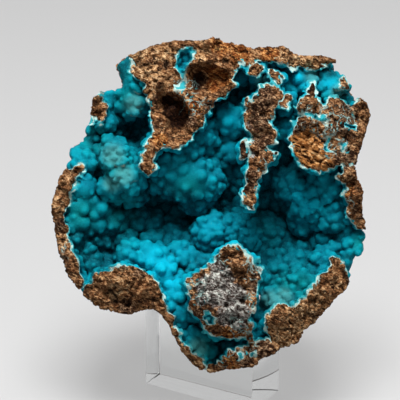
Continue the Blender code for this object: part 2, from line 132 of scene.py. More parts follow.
# Picture outline of the whole specimen, clockwise from the upper left
SPECIMEN_PX = [
    (133, 52), (163, 43), (204, 42), (214, 37), (225, 41), (255, 48), (281, 48), (300, 57),
    (326, 56), (338, 61), (350, 80), (359, 92), (369, 110), (367, 124), (357, 152), (354, 168),
    (360, 190), (361, 212), (366, 228), (363, 250), (354, 260), (348, 280), (332, 300),
    (316, 319), (301, 329), (297, 339), (273, 350), (255, 363), (235, 365), (207, 372),
    (186, 353), (172, 328), (161, 312), (150, 309), (129, 315), (102, 307), (82, 292),
    (68, 270), (57, 240), (55, 200), (66, 160), (67, 145), (82, 134), (90, 115), (93, 95),
    (102, 88), (119, 86), (121, 78), (115, 66), (122, 57),
]

# Picture outlines of the broken brown faces; those on the rim run out past the specimen
TOP_FACE_PX = [
    (127, 40), (210, 20), (300, 30), (345, 55), (330, 64), (304, 68), (294, 69), (282, 61),
    (270, 58), (253, 64), (237, 64), (235, 75), (233, 88), (227, 94), (215, 101), (208, 115),
    (202, 124), (184, 145), (168, 147), (157, 151), (152, 174), (141, 167), (146, 149),
    (153, 128), (149, 102), (144, 84), (132, 70), (129, 58),
]
SMALL_RING_PX = [(249, 66), (258, 63), (262, 69), (256, 75), (249, 74)]
SLANTED_RING_PX = [(270, 68), (276, 68), (284, 81), (277, 82), (269, 75)]
HANGING_FACE_PX = [
    (257, 89), (262, 86), (268, 84), (277, 88), (281, 95), (280, 103), (276, 107), (273, 115),
    (269, 120), (271, 125), (274, 131), (276, 138), (276, 144), (270, 147), (271, 151), (277, 152),
    (274, 159), (268, 168), (259, 176), (255, 200), (249, 209), (242, 201), (243, 188), (246, 178),
    (248, 168), (249, 158), (251, 150), (250, 141), (247, 133), (246, 124), (245, 116), (244, 108),
    (244, 102), (248, 98), (252, 101), (256, 95),
]
RIGHT_FACE_PX = [
    (298, 105), (300, 97), (309, 89), (313, 80), (316, 86), (319, 96), (318, 102), (326, 104),
    (329, 99), (336, 97), (345, 100), (357, 101), (385, 98), (385, 160), (358, 162), (352, 166),
    (346, 168), (338, 165), (331, 168), (323, 173), (311, 171), (301, 166), (293, 152), (289, 145),
    (292, 130), (297, 122), (300, 116), (297, 111),
]
RIGHT_RIM_PX = [
    (336, 173), (343, 171), (350, 167), (380, 165), (385, 230), (366, 228), (357, 227), (349, 216),
    (347, 204), (345, 196), (346, 191), (349, 189), (346, 186), (342, 184), (341, 179), (336, 178),
]
LEFT_RIM_PX = [
    (68, 166), (80, 164), (81, 173), (74, 179), (70, 194), (65, 212), (64, 230), (68, 245),
    (74, 260), (80, 273), (81, 290), (60, 292), (35, 240), (40, 180),
]
LOWER_LEFT_PX = [
    (94, 277), (112, 268), (138, 267), (150, 275), (162, 288), (166, 304), (175, 321),
    (184, 342), (202, 362), (208, 372), (195, 385), (150, 340), (90, 330), (80, 300),
]
PILLAR_FACE_PX = [
    (188, 279), (204, 267), (221, 251), (225, 245), (237, 245), (245, 253), (258, 263),
    (261, 274), (255, 288), (253, 306), (250, 316), (249, 322), (251, 329), (248, 334), (240, 338),
    (227, 336), (209, 335), (204, 323), (196, 312), (190, 304), (191, 293),
]
BOTTOM_FACE_PX = [
    (228, 350), (237, 348), (243, 347), (247, 340), (245, 334), (250, 330), (255, 333), (257, 341),
    (266, 339), (274, 347), (285, 360), (250, 385), (208, 385), (208, 371), (216, 363), (224, 357),
]
LOWER_RIGHT_PX = [
    (265, 319), (270, 311), (281, 304), (293, 304), (306, 296), (315, 283), (324, 273),
    (334, 258), (341, 264), (352, 282), (350, 300), (320, 340), (280, 362), (272, 349),
    (268, 337), (264, 328),
]
SMALL_LEFT_PX = [(92, 93), (100, 89), (104, 117), (98, 121), (91, 118), (80, 124), (82, 100)]
LEFT_CELL_PX = [
    (240, 147), (242, 142), (245, 140), (248, 146), (248, 153), (246, 158), (241, 158), (239, 153),
]
RIGHT_CELL_PX = [(286, 93), (293, 96), (291, 101), (285, 107), (283, 102)]
KNOB_PX = [(340, 78), (344, 75), (349, 76), (352, 81), (352, 87), (345, 84)]

# Brown faces: outline and how much faster than usual they narrow towards the back
BROWN_FACES = [
    (TOP_FACE_PX, 0.8), (SMALL_RING_PX, 0.3), (SLANTED_RING_PX, 0.3), (HANGING_FACE_PX, 0.7),
    (RIGHT_FACE_PX, 0.9), (RIGHT_RIM_PX, 1.2), (LEFT_RIM_PX, 1.2), (LOWER_LEFT_PX, 1.0),
    (PILLAR_FACE_PX, 0.6), (BOTTOM_FACE_PX, 0.8), (LOWER_RIGHT_PX, 1.0), (SMALL_LEFT_PX, 1.0),
    (LEFT_CELL_PX, 0.5), (RIGHT_CELL_PX, 0.3), (KNOB_PX, 0.8),
]

# Cracks and small vugs that open the brown faces, lined with crust
CREVICE_PX = [
    (181, 47), (194, 47), (192, 59), (188, 66), (192, 70), (194, 79), (189, 88), (171, 90),
    (171, 85), (179, 81), (179, 71), (173, 64),
]
PILLAR_HOLE_PX = [(204, 311), (210, 312), (217, 322), (213, 325), (206, 319)]
RIGHT_HOLE_PX = [(323, 138), (331, 137), (332, 146), (334, 154), (328, 153), (322, 147)]
RIGHT_CAVE_PX = [(345, 121), (351, 119), (358, 121), (357, 128), (349, 129)]
RIGHT_NICHE_PX = [(339, 142), (349, 142), (348, 150), (343, 150)]
RIGHT_CHANNEL_PX = [
    (290, 113), (300, 112), (308, 112), (316, 113), (321, 116), (328, 119), (335, 121), (328, 124),
    (319, 122), (311, 118), (301, 117), (292, 118),
]
CREVICE_TAIL_PX = [(172, 87), (176, 89), (181, 95), (185, 101), (186, 106), (182, 102), (177, 96)]
BOTTOM_HOLE_PX = [(247, 351), (256, 349), (259, 355), (252, 359)]
BOTTOM_NICHE_PX = [(238, 351), (243, 350), (244, 357), (239, 358)]
CRUSTED_HOLES = [
    CREVICE_PX, CREVICE_TAIL_PX, PILLAR_HOLE_PX, RIGHT_HOLE_PX, RIGHT_CAVE_PX, RIGHT_NICHE_PX,
    RIGHT_CHANNEL_PX, BOTTOM_HOLE_PX, BOTTOM_NICHE_PX,
]

# Depth of the broken front: picture x, picture y, w in millimetres
FRONT_DEPTHS = [
    (125, 60, -17), (160, 48, -16), (215, 40, -17), (260, 52, -15), (310, 62, -15),
    (345, 85, -17), (370, 115, -19), (200, 75, -11), (160, 90, -9), (165, 125, -5),
    (150, 160, 0), (98, 105, -19), (255, 70, -8), (275, 75, -8), (262, 100, -3), (262, 140, 1),
    (250, 195, 4), (300, 110, -2), (330, 130, -4), (305, 155, 1), (360, 140, -11),
    (350, 195, -10), (370, 230, -14), (58, 235, -15), (62, 185, -16), (78, 285, -13),
    (115, 275, -2), (145, 285, 0), (110, 305, -7), (170, 320, -5), (205, 368, -11),
    (225, 260, 7), (215, 300, 9), (245, 315, 7), (240, 350, 0), (270, 345, -4),
    (285, 315, -1), (325, 285, -3), (345, 285, -10), (300, 335, -9),
]

# Depth of the crust's surface in the hollow, and of the rock's root behind each brown face
HOLLOW_DEPTHS = [
    (122, 66, -20), (133, 85, -21), (142, 118, -36), (122, 130, -40), (104, 108, -24),
    (88, 140, -24), (85, 165, -18), (110, 160, -17), (128, 185, -19), (80, 200, -19),
    (72, 235, -20), (98, 222, -27), (98, 245, -35), (92, 262, -27), (98, 170, -26),
    (98, 182, -26), (130, 212, -38), (150, 200, -42),
    (165, 205, -44), (150, 232, -37), (112, 250, -35), (175, 235, -33), (190, 215, -42),
    (165, 165, -24), (190, 180, -22), (208, 185, -28), (200, 140, -24), (215, 160, -34),
    (225, 200, -42), (228, 128, -26), (226, 90, -34), (240, 78, -36), (232, 160, -32),
    (275, 58, -28), (268, 92, -26), (286, 105, -34), (292, 122, -34), (285, 150, -36),
    (268, 195, -43), (285, 190, -30), (310, 195, -22), (330, 190, -20), (345, 205, -19),
    (270, 212, -43), (285, 225, -40), (305, 228, -36), (330, 232, -28), (355, 245, -21),
    (320, 255, -32), (350, 270, -20), (300, 75, -21), (330, 87, -20), (350, 94, -30),
    (330, 71, -34), (225, 344, -24),
    (318, 68, -26), (285, 88, -22), (212, 232, -26), (238, 232, -28), (265, 235, -33),
    (250, 250, -30), (210, 255, -24), (280, 262, -28), (300, 262, -26), (325, 262, -20),
    (275, 290, -22), (295, 288, -20), (258, 305, -22), (262, 300, -24), (285, 302, -14),
    (128, 255, -19), (155, 262, -17), (182, 262, -21), (172, 285, -14), (190, 305, -16),
    (178, 310, -12), (195, 335, -15), (205, 345, -12), (200, 362, -13), (205, 330, -20),
    (100, 285, -16), (135, 290, -14), (160, 75, -26), (200, 60, -26), (165, 120, -26),
    (255, 110, -24), (262, 140, -24), (250, 190, -34), (325, 120, -24), (320, 150, -28),
    (360, 120, -26), (230, 290, -20), (225, 320, -16), (240, 350, -12), (290, 330, -13),
    (310, 305, -12), (365, 180, -22), (55, 210, -22), (115, 300, -14),
]

# Main rounded masses of the crust: picture x, picture y, w of the centre, radius
MASSES = [
    (123, 64, -24, 7.0), (130, 80, -24, 7.5), (134, 100, -25, 7.0), (107, 122, -26, 4.0),
    (114, 150, -21, 5.5), (119, 160, -18, 6.0), (128, 176, -19, 7.0), (113, 186, -22, 5.5),
    (132, 192, -25, 5.5), (86, 162, -22, 5.0), (84, 188, -21, 5.5), (79, 206, -22, 5.0),
    (76, 222, -22, 4.5), (97, 206, -25, 5.0), (92, 222, -27, 5.0), (80, 242, -29, 5.0),
    (100, 238, -34, 6.0), (112, 220, -33, 6.5), (135, 222, -37, 6.0), (150, 225, -39, 6.0),
    (176, 240, -34, 5.0), (153, 243, -31, 4.5), (92, 262, -28, 4.5), (189, 176, -23, 10.0),
    (173, 163, -21, 8.0), (204, 180, -25, 8.0), (166, 178, -25, 7.0), (196, 198, -29, 6.5),
    (201, 135, -24, 7.0), (212, 154, -30, 6.5), (186, 148, -20, 7.0), (230, 122, -24, 6.0),
    (231, 148, -29, 6.0), (301, 77, -24, 7.5), (328, 86, -23, 5.5), (288, 128, -17, 4.5),
    (284, 84, -22, 4.5), (293, 184, -29, 7.0), (311, 199, -25, 8.0), (326, 186, -22, 6.5),
    (306, 218, -32, 7.0), (333, 216, -26, 7.0), (328, 238, -32, 6.0), (355, 245, -24, 6.0),
    (350, 264, -23, 5.0), (212, 232, -26.5, 7.5), (232, 230, -28, 6.0), (246, 238, -29.5, 5.5),
    (268, 235, -37, 7.5), (280, 240, -36, 5.5), (133, 255, -21, 5.5), (152, 259, -20, 6.5),
    (163, 273, -18, 6.0), (180, 256, -25, 5.5), (176, 294, -17, 6.0), (184, 314, -16, 5.0),
    (194, 338, -15, 5.0), (265, 282, -26, 5.5), (281, 270, -28, 5.5), (297, 264, -28, 5.5),
    (288, 288, -24, 5.5), (303, 282, -22, 5.0), (277, 298, -21, 5.0), (201, 352, -14, 4.5),
    (203, 262, -25, 5.0), (322, 262, -24, 4.5),
]

# Pockets worn into the brown faces: picture x, picture y, w of the centre, radius
POCKETS = [
    (172, 107, -12, 5.8), (177, 118, -12, 6.4), (166, 102, -10, 4.0), (181, 131, -5, 3.8),
    (172, 131, -4, 3.4), (199, 77, -14, 5.8), (211, 81, -13, 6.2), (222, 80, -13, 4.6),
    (196, 87, -12, 3.8), (166, 65, -14, 1.8), (168, 90, -9, 2.0),
    (243, 147, 3, 2.6), (311, 89, 0, 2.4), (141, 68, -12, 2.6), (312, 128, 2, 2.6),
]

# Relief: strength and wavelength of each layer
BACK_LUMPS = [(2.2, 34.0), (1.3, 15.0), (0.7, 8.0)]
FRONT_LUMPS = [(1.1, 22.0), (0.9, 9.0)]
FRONT_CHIPS = [(0.8, 5.0), (0.45, 2.4)]
FRILLS = [(0.75, 6.0), (0.45, 3.0), (0.25, 1.7)]
RIM_CHANGES = [(0.35, 8.0)]

# Sizes in metres of the chips and grains that roughen the bare rock
CHIPS = (("Chip size", 0.0042), ("Chip depth", 0.0015), ("Grain size", 0.0016), ("Grain depth", 0.0005))

# Wavy seam between the crust's upper and lower mesh, where the lower one runs on under the upper
SEAM_WAVES = [(1.5, 14.0), (0.8, 5.0)]
SEAM_SLOPE = 0.15
TUCK = 0.6
TUCK_REACH = 1.6

# Globules grown on the crust: spacing, smallest and largest radius, how far they sink in, and the
# least grain that they grow at; then the least radius kept, the step at which the crust is read
# for them, and how near the outside of the stone they count as on its side
GLOBULES = [(4.6, 2.2, 3.4, 0.36, 0.0), (2.9, 1.2, 1.9, 0.4, 0.6), (1.9, 0.8, 1.2, 0.35, 1.1)]
SMALLEST_GLOBULE = 0.6
GLOBULE_STEP = 0.9
SIDE_SKIN = 1.5

# Usual grain of the crust, and where it is smoother or rougher: picture x, picture y, reach, factor
PLAIN_GRAIN = 0.8
GRAIN_PATCHES = [
    (190, 180, 20, 0.3), (300, 76, 14, 0.35), (87, 165, 10, 0.4), (127, 72, 14, 0.5),
    (230, 122, 12, 0.3), (231, 148, 10, 0.3), (85, 215, 22, 0.6), (155, 255, 16, 0.5),
    (115, 165, 20, 1.9), (240, 234, 16, 1.9), (312, 210, 22, 1.5), (285, 280, 24, 1.4),
    (215, 228, 10, 1.4), (105, 215, 14, 0.5), (170, 285, 14, 0.6),
]

# Patches of colour on the face: picture x, picture y, reach in pixels
# Some patches are painted light and some painted shade, as marked below
PATCHES = {
    "tan": [
        (137, 52, 14), (135, 66, 9), (150, 76, 13), (150, 92, 8), (300, 320, 20), (280, 337, 15),
        (318, 300, 12), (118, 292, 10), (62, 240, 8), (58, 205, 7), (290, 60, 12), (310, 64, 10),
        (165, 55, 12), (205, 52, 8), (120, 283, 8),
    ],
    "rust": [
        (222, 46, 13), (240, 53, 12), (214, 72, 10), (224, 80, 9), (305, 138, 10), (313, 156, 13),
        (297, 150, 8), (315, 135, 8), (160, 140, 8), (214, 86, 9), (220, 76, 8), (232, 331, 12),
        (347, 190, 9), (270, 54, 10), (195, 110, 10), (235, 360, 12), (305, 142, 8),
    ],
    "grey": [
        (222, 276, 12), (233, 298, 14), (216, 296, 13), (240, 311, 11), (206, 286, 10), (228, 316, 12),
        (202, 300, 7), (238, 322, 8), (215, 262, 7), (251, 125, 4), (252, 140, 4), (252, 155, 4),
    ],
    "ochre": [
        (297, 143, 10), (306, 150, 12), (316, 158, 11), (325, 165, 8), (306, 164, 9), (308, 137, 10),
        (318, 146, 7),
    ],
    # Painted shade: dark patches, mostly in the worn pockets
    "dark": [
        (175, 110, 12), (179, 120, 10), (168, 101, 7), (199, 77, 7), (197, 86, 6), (243, 147, 5),
        (311, 88, 5), (244, 190, 5),
    ],
    "umber": [
        (212, 108, 8), (190, 120, 8), (258, 104, 12), (252, 185, 10), (166, 65, 6), (262, 98, 16),
        (258, 122, 12), (264, 142, 12), (244, 150, 7), (300, 128, 9), (128, 308, 11), (345, 128, 8),
        (60, 225, 8), (346, 112, 12), (330, 122, 8), (258, 270, 9), (254, 285, 8), (202, 78, 8),
        (230, 100, 8), (60, 262, 12), (244, 358, 12), (264, 348, 12), (196, 315, 8), (345, 160, 12),
        (250, 178, 10),
    ],
    "veins": [
        (185, 88, 14), (190, 103, 12), (205, 108, 9), (300, 115, 14), (325, 122, 16), (345, 118, 12),
        (340, 145, 8), (250, 343, 8), (235, 325, 9), (198, 282, 9), (250, 276, 8), (244, 330, 7),
        (262, 165, 9), (222, 262, 10), (200, 300, 9), (347, 205, 9), (330, 150, 9), (250, 300, 8),
        (250, 265, 8), (225, 355, 12), (70, 250, 8),
    ],
    "dust": [
        (115, 150, 11), (121, 163, 10), (128, 176, 10), (112, 158, 9), (136, 98, 9), (133, 108, 8),
        (196, 340, 8), (335, 92, 8), (272, 300, 9), (284, 296, 8), (262, 312, 7), (330, 262, 7),
    ],
    "green": [
        (118, 168, 20), (130, 100, 16), (82, 215, 20), (285, 285, 18), (200, 350, 16), (322, 64, 10),
        (362, 244, 12), (300, 285, 18), (190, 190, 18), (125, 215, 24), (265, 235, 14), (95, 140, 16),
        (345, 90, 14), (124, 70, 14), (330, 95, 8), (205, 345, 10),
    ],
    # Painted light: brighter crust where the upward-facing floor of the hollow is lit
    "painted_light": [
        (214, 232, 26), (236, 230, 20), (255, 240, 12), (160, 262, 26), (172, 285, 16), (302, 76, 16),
        (230, 122, 10), (310, 203, 10), (288, 128, 6), (242, 232, 18), (300, 196, 10), (332, 86, 8),
        (185, 250, 14), (230, 146, 8), (216, 62, 8),
    ],
    "faded": [
        (113, 155, 12), (124, 176, 11), (134, 104, 10), (312, 76, 8), (338, 92, 8), (198, 348, 10),
        (262, 82, 8), (112, 184, 9), (270, 300, 10), (284, 297, 9),
    ],
    # Painted shade: darker crust under overhangs and deep in the hollow
    "shaded": [
        (86, 246, 24), (112, 244, 12), (98, 262, 14), (122, 128, 14), (188, 203, 14), (168, 196, 12),
        (270, 208, 12), (226, 88, 8), (286, 104, 10), (146, 205, 12), (262, 306, 8), (335, 232, 10),
        (99, 172, 7), (350, 262, 10), (126, 62, 12), (120, 74, 9), (330, 71, 8), (352, 94, 7),
        (225, 344, 8), (284, 162, 10), (95, 140, 8),
    ],
}

# Dark, middle and light tone of each kind of rock; plain brown takes its middle from the settings
ROCK_TONES = {
    "brown": ((0.10, 0.036, 0.013, 1), None, (0.78, 0.44, 0.21, 1)),
    "tan": ((0.13, 0.052, 0.019, 1), (0.48, 0.24, 0.10, 1), (0.98, 0.68, 0.38, 1)),
    "rust": ((0.12, 0.028, 0.007, 1), (0.38, 0.12, 0.03, 1), (0.88, 0.46, 0.16, 1)),
    "ochre": ((0.12, 0.034, 0.008, 1), (0.50, 0.20, 0.055, 1), (1.0, 0.64, 0.30, 1)),
    "grey": ((0.07, 0.045, 0.035, 1), (0.34, 0.30, 0.27, 1), (0.85, 0.87, 0.79, 1)),
    "umber": ((0.022, 0.009, 0.005, 1), (0.14, 0.062, 0.029, 1), (0.60, 0.38, 0.22, 1)),
    # Tones of the painted shade in the pockets
    "dark": ((0.006, 0.002, 0.001, 1), (0.028, 0.010, 0.005, 1), (0.09, 0.036, 0.015, 1)),
}

# Patches that take their kind of rock as they are: name, and the strengths between which they set in
# The dark patches are painted shade, mostly in the worn pockets
ROCK_PATCHES = (
    ("tan", 0.25, 0.6), ("rust", 0.3, 0.65), ("grey", 0.3, 0.5), ("umber", 0.3, 0.7), ("dark", 0.25, 0.6),
)
# Rock colours laid in by masks; the hollow one is painted shade in creases and hollows
ROCK_SHADES = {
    "gap": (0.014, 0.005, 0.003, 1), "pit": (0.018, 0.007, 0.003, 1), "crack_and_crease_shade": (0.022, 0.009, 0.005, 1),
    "hollow": (0.012, 0.006, 0.004, 1), "vein": (0.42, 0.62, 0.57, 1), "vug": (0.02, 0.30, 0.33, 1),
    "edge": (0.52, 0.66, 0.59, 1),
}
# Crust colours: painted light on lit patches, painted highlight on crests, painted shade on shaded patches,
# in creases, recesses and depths
CRUST_SHADES = {
    "dim": (0.0005, 0.17, 0.25, 1), "green": (0.001, 0.20, 0.20, 1), "painted_light": (0.0005, 0.49, 0.69, 1),
    "shaded": (0.0003, 0.06, 0.085, 1), "crest_highlight": (0.001, 0.44, 0.56, 1), "crack_and_crease_shade": (0.0003, 0.03, 0.05, 1),
    "recess": (0.0003, 0.045, 0.07, 1), "deep": (0.0003, 0.05, 0.08, 1), "grain": (0.001, 0.38, 0.44, 1),
    "faded": (0.07, 0.30, 0.30, 1), "dust": (0.46, 0.50, 0.38, 1), "rim": (0.06, 0.42, 0.44, 1),
    "edge": (0.52, 0.70, 0.64, 1),
}


class StoneSettings(bpy.types.PropertyGroup):
    cell: FloatProperty(name="Cell", description="Grid step of the fields in mm", default=0.45, min=0.3)
    crust: FloatProperty(name="Crust", description="Crust thickness in mm", default=2.4, min=1.0)
    rim: FloatProperty(name="Rim", description="Crust on the broken walls in mm", default=0.95, min=0.5)
    triangles: IntProperty(name="Triangles", description="Most triangles in a mesh", default=190000)
    seed: IntProperty(name="Seed", description="Start of everything scattered", default=4)
    turquoise: FloatVectorProperty(
        name="Turquoise", description="Crust in full light", subtype="COLOR", size=4,
        default=(0.0005, 0.30, 0.40, 1.0), min=0.0, max=1.0)
    brown: FloatVectorProperty(
        name="Brown", description="Broken limonite", subtype="COLOR", size=4,
        default=(0.29, 0.125, 0.05, 1.0), min=0.0, max=1.0)


class BlockSettings(bpy.types.PropertyGroup):
    bevel: FloatProperty(
        name="Bevel", description="Polished edge of the block", default=0.0004, unit="LENGTH")
    clarity: FloatProperty(name="Clarity", description="Share of light let through", default=1.0)


class StageSettings(bpy.types.PropertyGroup):
    floor: FloatVectorProperty(
        name="Floor", description="Pale floor and backdrop", subtype="COLOR", size=4,
        default=(0.25, 0.25, 0.25, 1.0), min=0.0, max=1.0)
    floor_glow: FloatProperty(name="Glow", description="Light that comes through the floor", default=0.40)
    key_power: FloatProperty(name="Key", description="Overhead soft light in watts", default=24.0)
    fill_power: FloatProperty(name="Fill", description="Front soft light in watts", default=1.0)


def on_face(x, y, depth):
    """Picture point at a given depth, as u and v on the face; nearer things look larger."""
    nearness = 1.0 - depth / VIEWING_DISTANCE
    u = (x - FACE_CENTRE_PX[0]) * FACE_PER_PIXEL * nearness
    v = (FACE_CENTRE_PX[1] - y) * FACE_PER_PIXEL * nearness
    return u, v


def on_picture(points):
    """Picture x and y of points in the face's frame."""
    step = FACE_PER_PIXEL * (1.0 - points[:, 2] / VIEWING_DISTANCE)
    return FACE_CENTRE_PX[0] + points[:, 0] / step, FACE_CENTRE_PX[1] - points[:, 1] / step


def face_to_world():
    """Frame of the specimen's face: leaning back, above the middle of the block's foot."""
    turn = Matrix(((1, 0, 0), (0, math.sin(LEAN), -math.cos(LEAN)),
                   (0, math.cos(LEAN), math.sin(LEAN))))
    return Matrix.Translation(FACE_CENTRE) @ turn.to_4x4()


def round_outline(points, steps=4):
    """Closed Catmull-Rom curve through the points."""
    knots = np.array(points, float)
    before, after, last = np.roll(knots, 1, 0), np.roll(knots, -1, 0), np.roll(knots, -2, 0)
    rows = []
    for t in np.linspace(0.0, 1.0, steps, endpoint=False):
        rows.append(0.5 * (2 * knots + (after - before) * t
                           + (2 * before - 5 * knots + 4 * after - last) * t ** 2
                           + (3 * knots - before - 3 * after + last) * t ** 3))
    return np.stack(rows, 1).reshape(-1, 2)


def outline_distance(outline, u, v):
    """Signed distance to a closed outline on the face, negative inside."""
    nearest = np.full(u.shape, 1e9)
    inside = np.zeros(u.shape, bool)
    for (au, av), (bu, bv) in zip(outline, np.roll(outline, -1, 0)):
        along = ((u - au) * (bu - au) + (v - av) * (bv - av)) / ((bu - au) ** 2 + (bv - av) ** 2)
        along = np.clip(along, 0.0, 1.0)
        nearest = np.minimum(nearest, np.hypot(u - au - along * (bu - au), v - av - along * (bv - av)))
        crosses = (av > v) != (bv > v)
        side = np.where(crosses, (bu - au) * (v - av) / np.where(bv == av, 1e-9, bv - av) + au, -1e9)
        inside ^= crosses & (u < side)
    return np.where(inside, -nearest, nearest).astype(np.float32)


def depth_map(samples, u, v, softness):
    """Smooth depth over the face through scattered samples."""
    total = np.zeros(u.shape)
    weight = np.zeros(u.shape)
    for x, y, depth in samples:
        pu, pv = on_face(x, y, depth)
        share = 1.0 / ((u - pu) ** 2 + (v - pv) ** 2 + softness ** 2) ** 2
        total += share * depth
        weight += share
    return (total / weight).astype(np.float32)


def finer(field, coarse, axes):
    """Field on coarse axes, spread by linear interpolation over finer ones."""
    for k in range(3):
        if len(coarse[k]) < 2:
            continue
        place = (axes[k] - coarse[k][0]) / (coarse[k][1] - coarse[k][0])
        low = np.clip(place.astype(int), 0, len(coarse[k]) - 2)
        shape = [1, 1, 1]
        shape[k] = -1
        part = (place - low).astype(np.float32).reshape(shape)
        field = np.take(field, low, k) * (1.0 - part) + np.take(field, low + 1, k) * part
    return field


def relief(axes, layers, seed, stride=4):
    """Ripples of long wavelengths, worked out on every few cells only."""
    step = (axes[0][1] - axes[0][0]) * stride
    coarse = tuple(np.arange(axis[0], axis[-1] + step, step) for axis in axes)
    return finer(ripples(coarse, layers, seed), coarse, axes)


def ripples(axes, layers, seed):
    """Smooth random relief: sums of plane waves in many directions."""
    u, v, w = axes
    rng = np.random.default_rng(seed)
    total = np.zeros((len(u), len(v), len(w)), np.float32)
    for strength, wavelength in layers:
        for _ in range(12):
            direction = rng.normal(size=3)
            ku, kv, kw = direction / np.linalg.norm(direction) * 2 * math.pi / wavelength
            phase = rng.uniform(0, 2 * math.pi)
            flat = np.exp(1j * (ku * u + phase))[:, None] * np.exp(1j * kv * v)[None, :]
            flat = flat.astype(np.complex64)[:, :, None]
            wave = np.exp(1j * kw * w).astype(np.complex64)
            total += strength / 3.5 * (flat.real * wave.real - flat.imag * wave.imag)
    return total


def joined(a, b, reach):
    """Smooth union of two fields."""
    near = np.maximum(reach - np.abs(a - b), 0.0) / reach
    return np.minimum(a, b) - near * near * reach / 4.0


def cut_by(a, b, reach):
    """Smooth overlap of two fields."""
    return -joined(-a, -b, reach)


def add_balls(field, axes, centres, radii, softness):
    """Join balls to a field, touching only the cells near each one."""
    cell = axes[0][1] - axes[0][0]
    for centre, radius in zip(centres, radii):
        reach = softness * radius
        spans = []
        for axis, middle in zip(axes, centre):
            first = np.searchsorted(axis, middle - radius - reach - cell)
            last = np.searchsorted(axis, middle + radius + reach + cell)
            spans.append(slice(first, last))
        du = (axes[0][spans[0]] - centre[0])[:, None, None]
        dv = (axes[1][spans[1]] - centre[1])[None, :, None]
        dw = (axes[2][spans[2]] - centre[2])[None, None, :]
        ball = np.sqrt(du ** 2 + dv ** 2 + dw ** 2) - radius
        window = tuple(spans)
        field[window] = joined(field[window], ball, reach)
    return field


def listed_balls(rows):
    """Centres and radii of balls given by picture point, depth and radius."""
    centres = [(*on_face(x, y, depth), depth) for x, y, depth, _ in rows]
    return centres, [radius for _, _, _, radius in rows]


def hull_field(axes, u, v, w, front):
    """Outside of the specimen: its outline, drawn in towards the back."""
    around = round_outline([on_face(x, y, OUTLINE_DEPTH) for x, y in SPECIMEN_PX])
    behind = front + FRONT_MARGIN - w
    depth = np.clip(behind / BACK_DEPTH, 0.0, FULLEST)
    inset = BACK_INSET * (1.0 - np.sqrt(1.0 - depth ** 2))
    slope = BACK_INSET / BACK_DEPTH * depth / np.sqrt(1.0 - depth ** 2)
    beyond = np.maximum(behind - FULLEST * BACK_DEPTH, 0.0)
    hull = (outline_distance(around, u, v)[:, :, None] + inset) / np.sqrt(1.0 + slope ** 2) + beyond
    calm = 0.2 + 0.8 * ramp(front - w, *CALM_REACH)
    return hull + relief(axes, BACK_LUMPS, SEEDS["hull"]) * calm


def rest_field(u, v, w):
    """Everything below the top of the block, from its two front faces to beyond the back."""
    x = u[:, :, None] + FACE_CENTRE.x
    y = v[:, :, None] * math.sin(LEAN) - w * math.cos(LEAN) + FACE_CENTRE.y
    z = v[:, :, None] * math.cos(LEAN) + w * math.sin(LEAN) + FACE_CENTRE.z
    along = x * math.cos(BLOCK_TURN) + y * math.sin(BLOCK_TURN)
    across = y * math.cos(BLOCK_TURN) - x * math.sin(BLOCK_TURN)
    sides = np.maximum(along - BLOCK_LENGTH / 2, -across - BLOCK_WIDTH / 2)
    return np.maximum(sides - SIDE_CLEARANCE, z - BLOCK_HEIGHT - GAP).astype(np.float32)


def flat_ripples(axes, layers, seed):
    """Ripples that change over the face only."""
    return ripples((axes[0], axes[1], np.zeros(1)), layers, seed)


def fin_field(axes, u, v, w, front):
    """Broken walls behind the brown faces, opened by the crusted cracks."""
    shift_u, shift_v = (flat_ripples(axes, FRILLS, seed)[:, :, 0] for seed in SEEDS["frills"])
    fins = np.full(np.broadcast(u[:, :, None], w).shape, 1e3, np.float32)
    behind = np.maximum(front - w, 0.0)

    def flat(points):
        outline = round_outline([on_face(x, y, FACE_DEPTH) for x, y in points])
        return outline_distance(outline, u + shift_u, v + shift_v)[:, :, None]

    for points, narrowing in BROWN_FACES:
        fins = np.minimum(fins, flat(points) + FIN_TAPER * narrowing * behind)
    for points in CRUSTED_HOLES:
        fins = np.maximum(fins, -(flat(points) + HOLE_TAPER * behind))
    return fins


def scattered(points, spacing, seed):
    """Points in random order, each kept only if it is clear of those kept before."""
    rng = np.random.default_rng(seed)
    kept = {}
    chosen = []
    for index in rng.permutation(len(points)):
        u, v, w = points[index]
        home = (int(u // spacing), int(v // spacing), int(w // spacing))
        near = [kept.get((home[0] + a, home[1] + b, home[2] + c), ())
                for a in (-1, 0, 1) for b in (-1, 0, 1) for c in (-1, 0, 1)]
        if all((u - p) ** 2 + (v - q) ** 2 + (w - r) ** 2 > spacing ** 2
               for group in near for p, q, r in group):
            kept.setdefault(home, []).append((u, v, w))
            chosen.append(index)
    return np.array(chosen)


def closeness(x, y, patch):
    """Nearness of picture points to the middle of a round patch, from 0 to 1."""
    patch_x, patch_y, reach = patch
    return np.exp(-((x - patch_x) ** 2 + (y - patch_y) ** 2) / reach ** 2)


def patch_weight(points, patches):
    """How strongly round patches on the face cover points in its frame, from 0 to 1."""
    x, y = on_picture(points)
    weight = np.zeros(len(points))
    for patch in patches:
        weight = np.maximum(weight, closeness(x, y, patch))
    return weight


def grain_factor(points):
    """How large globules grow at points in the face's frame."""
    x, y = on_picture(points)
    factor = np.full(len(points), PLAIN_GRAIN)
    for *patch, amount in GRAIN_PATCHES:
        factor *= 1.0 + (amount - 1.0) * closeness(x, y, patch)
    return factor


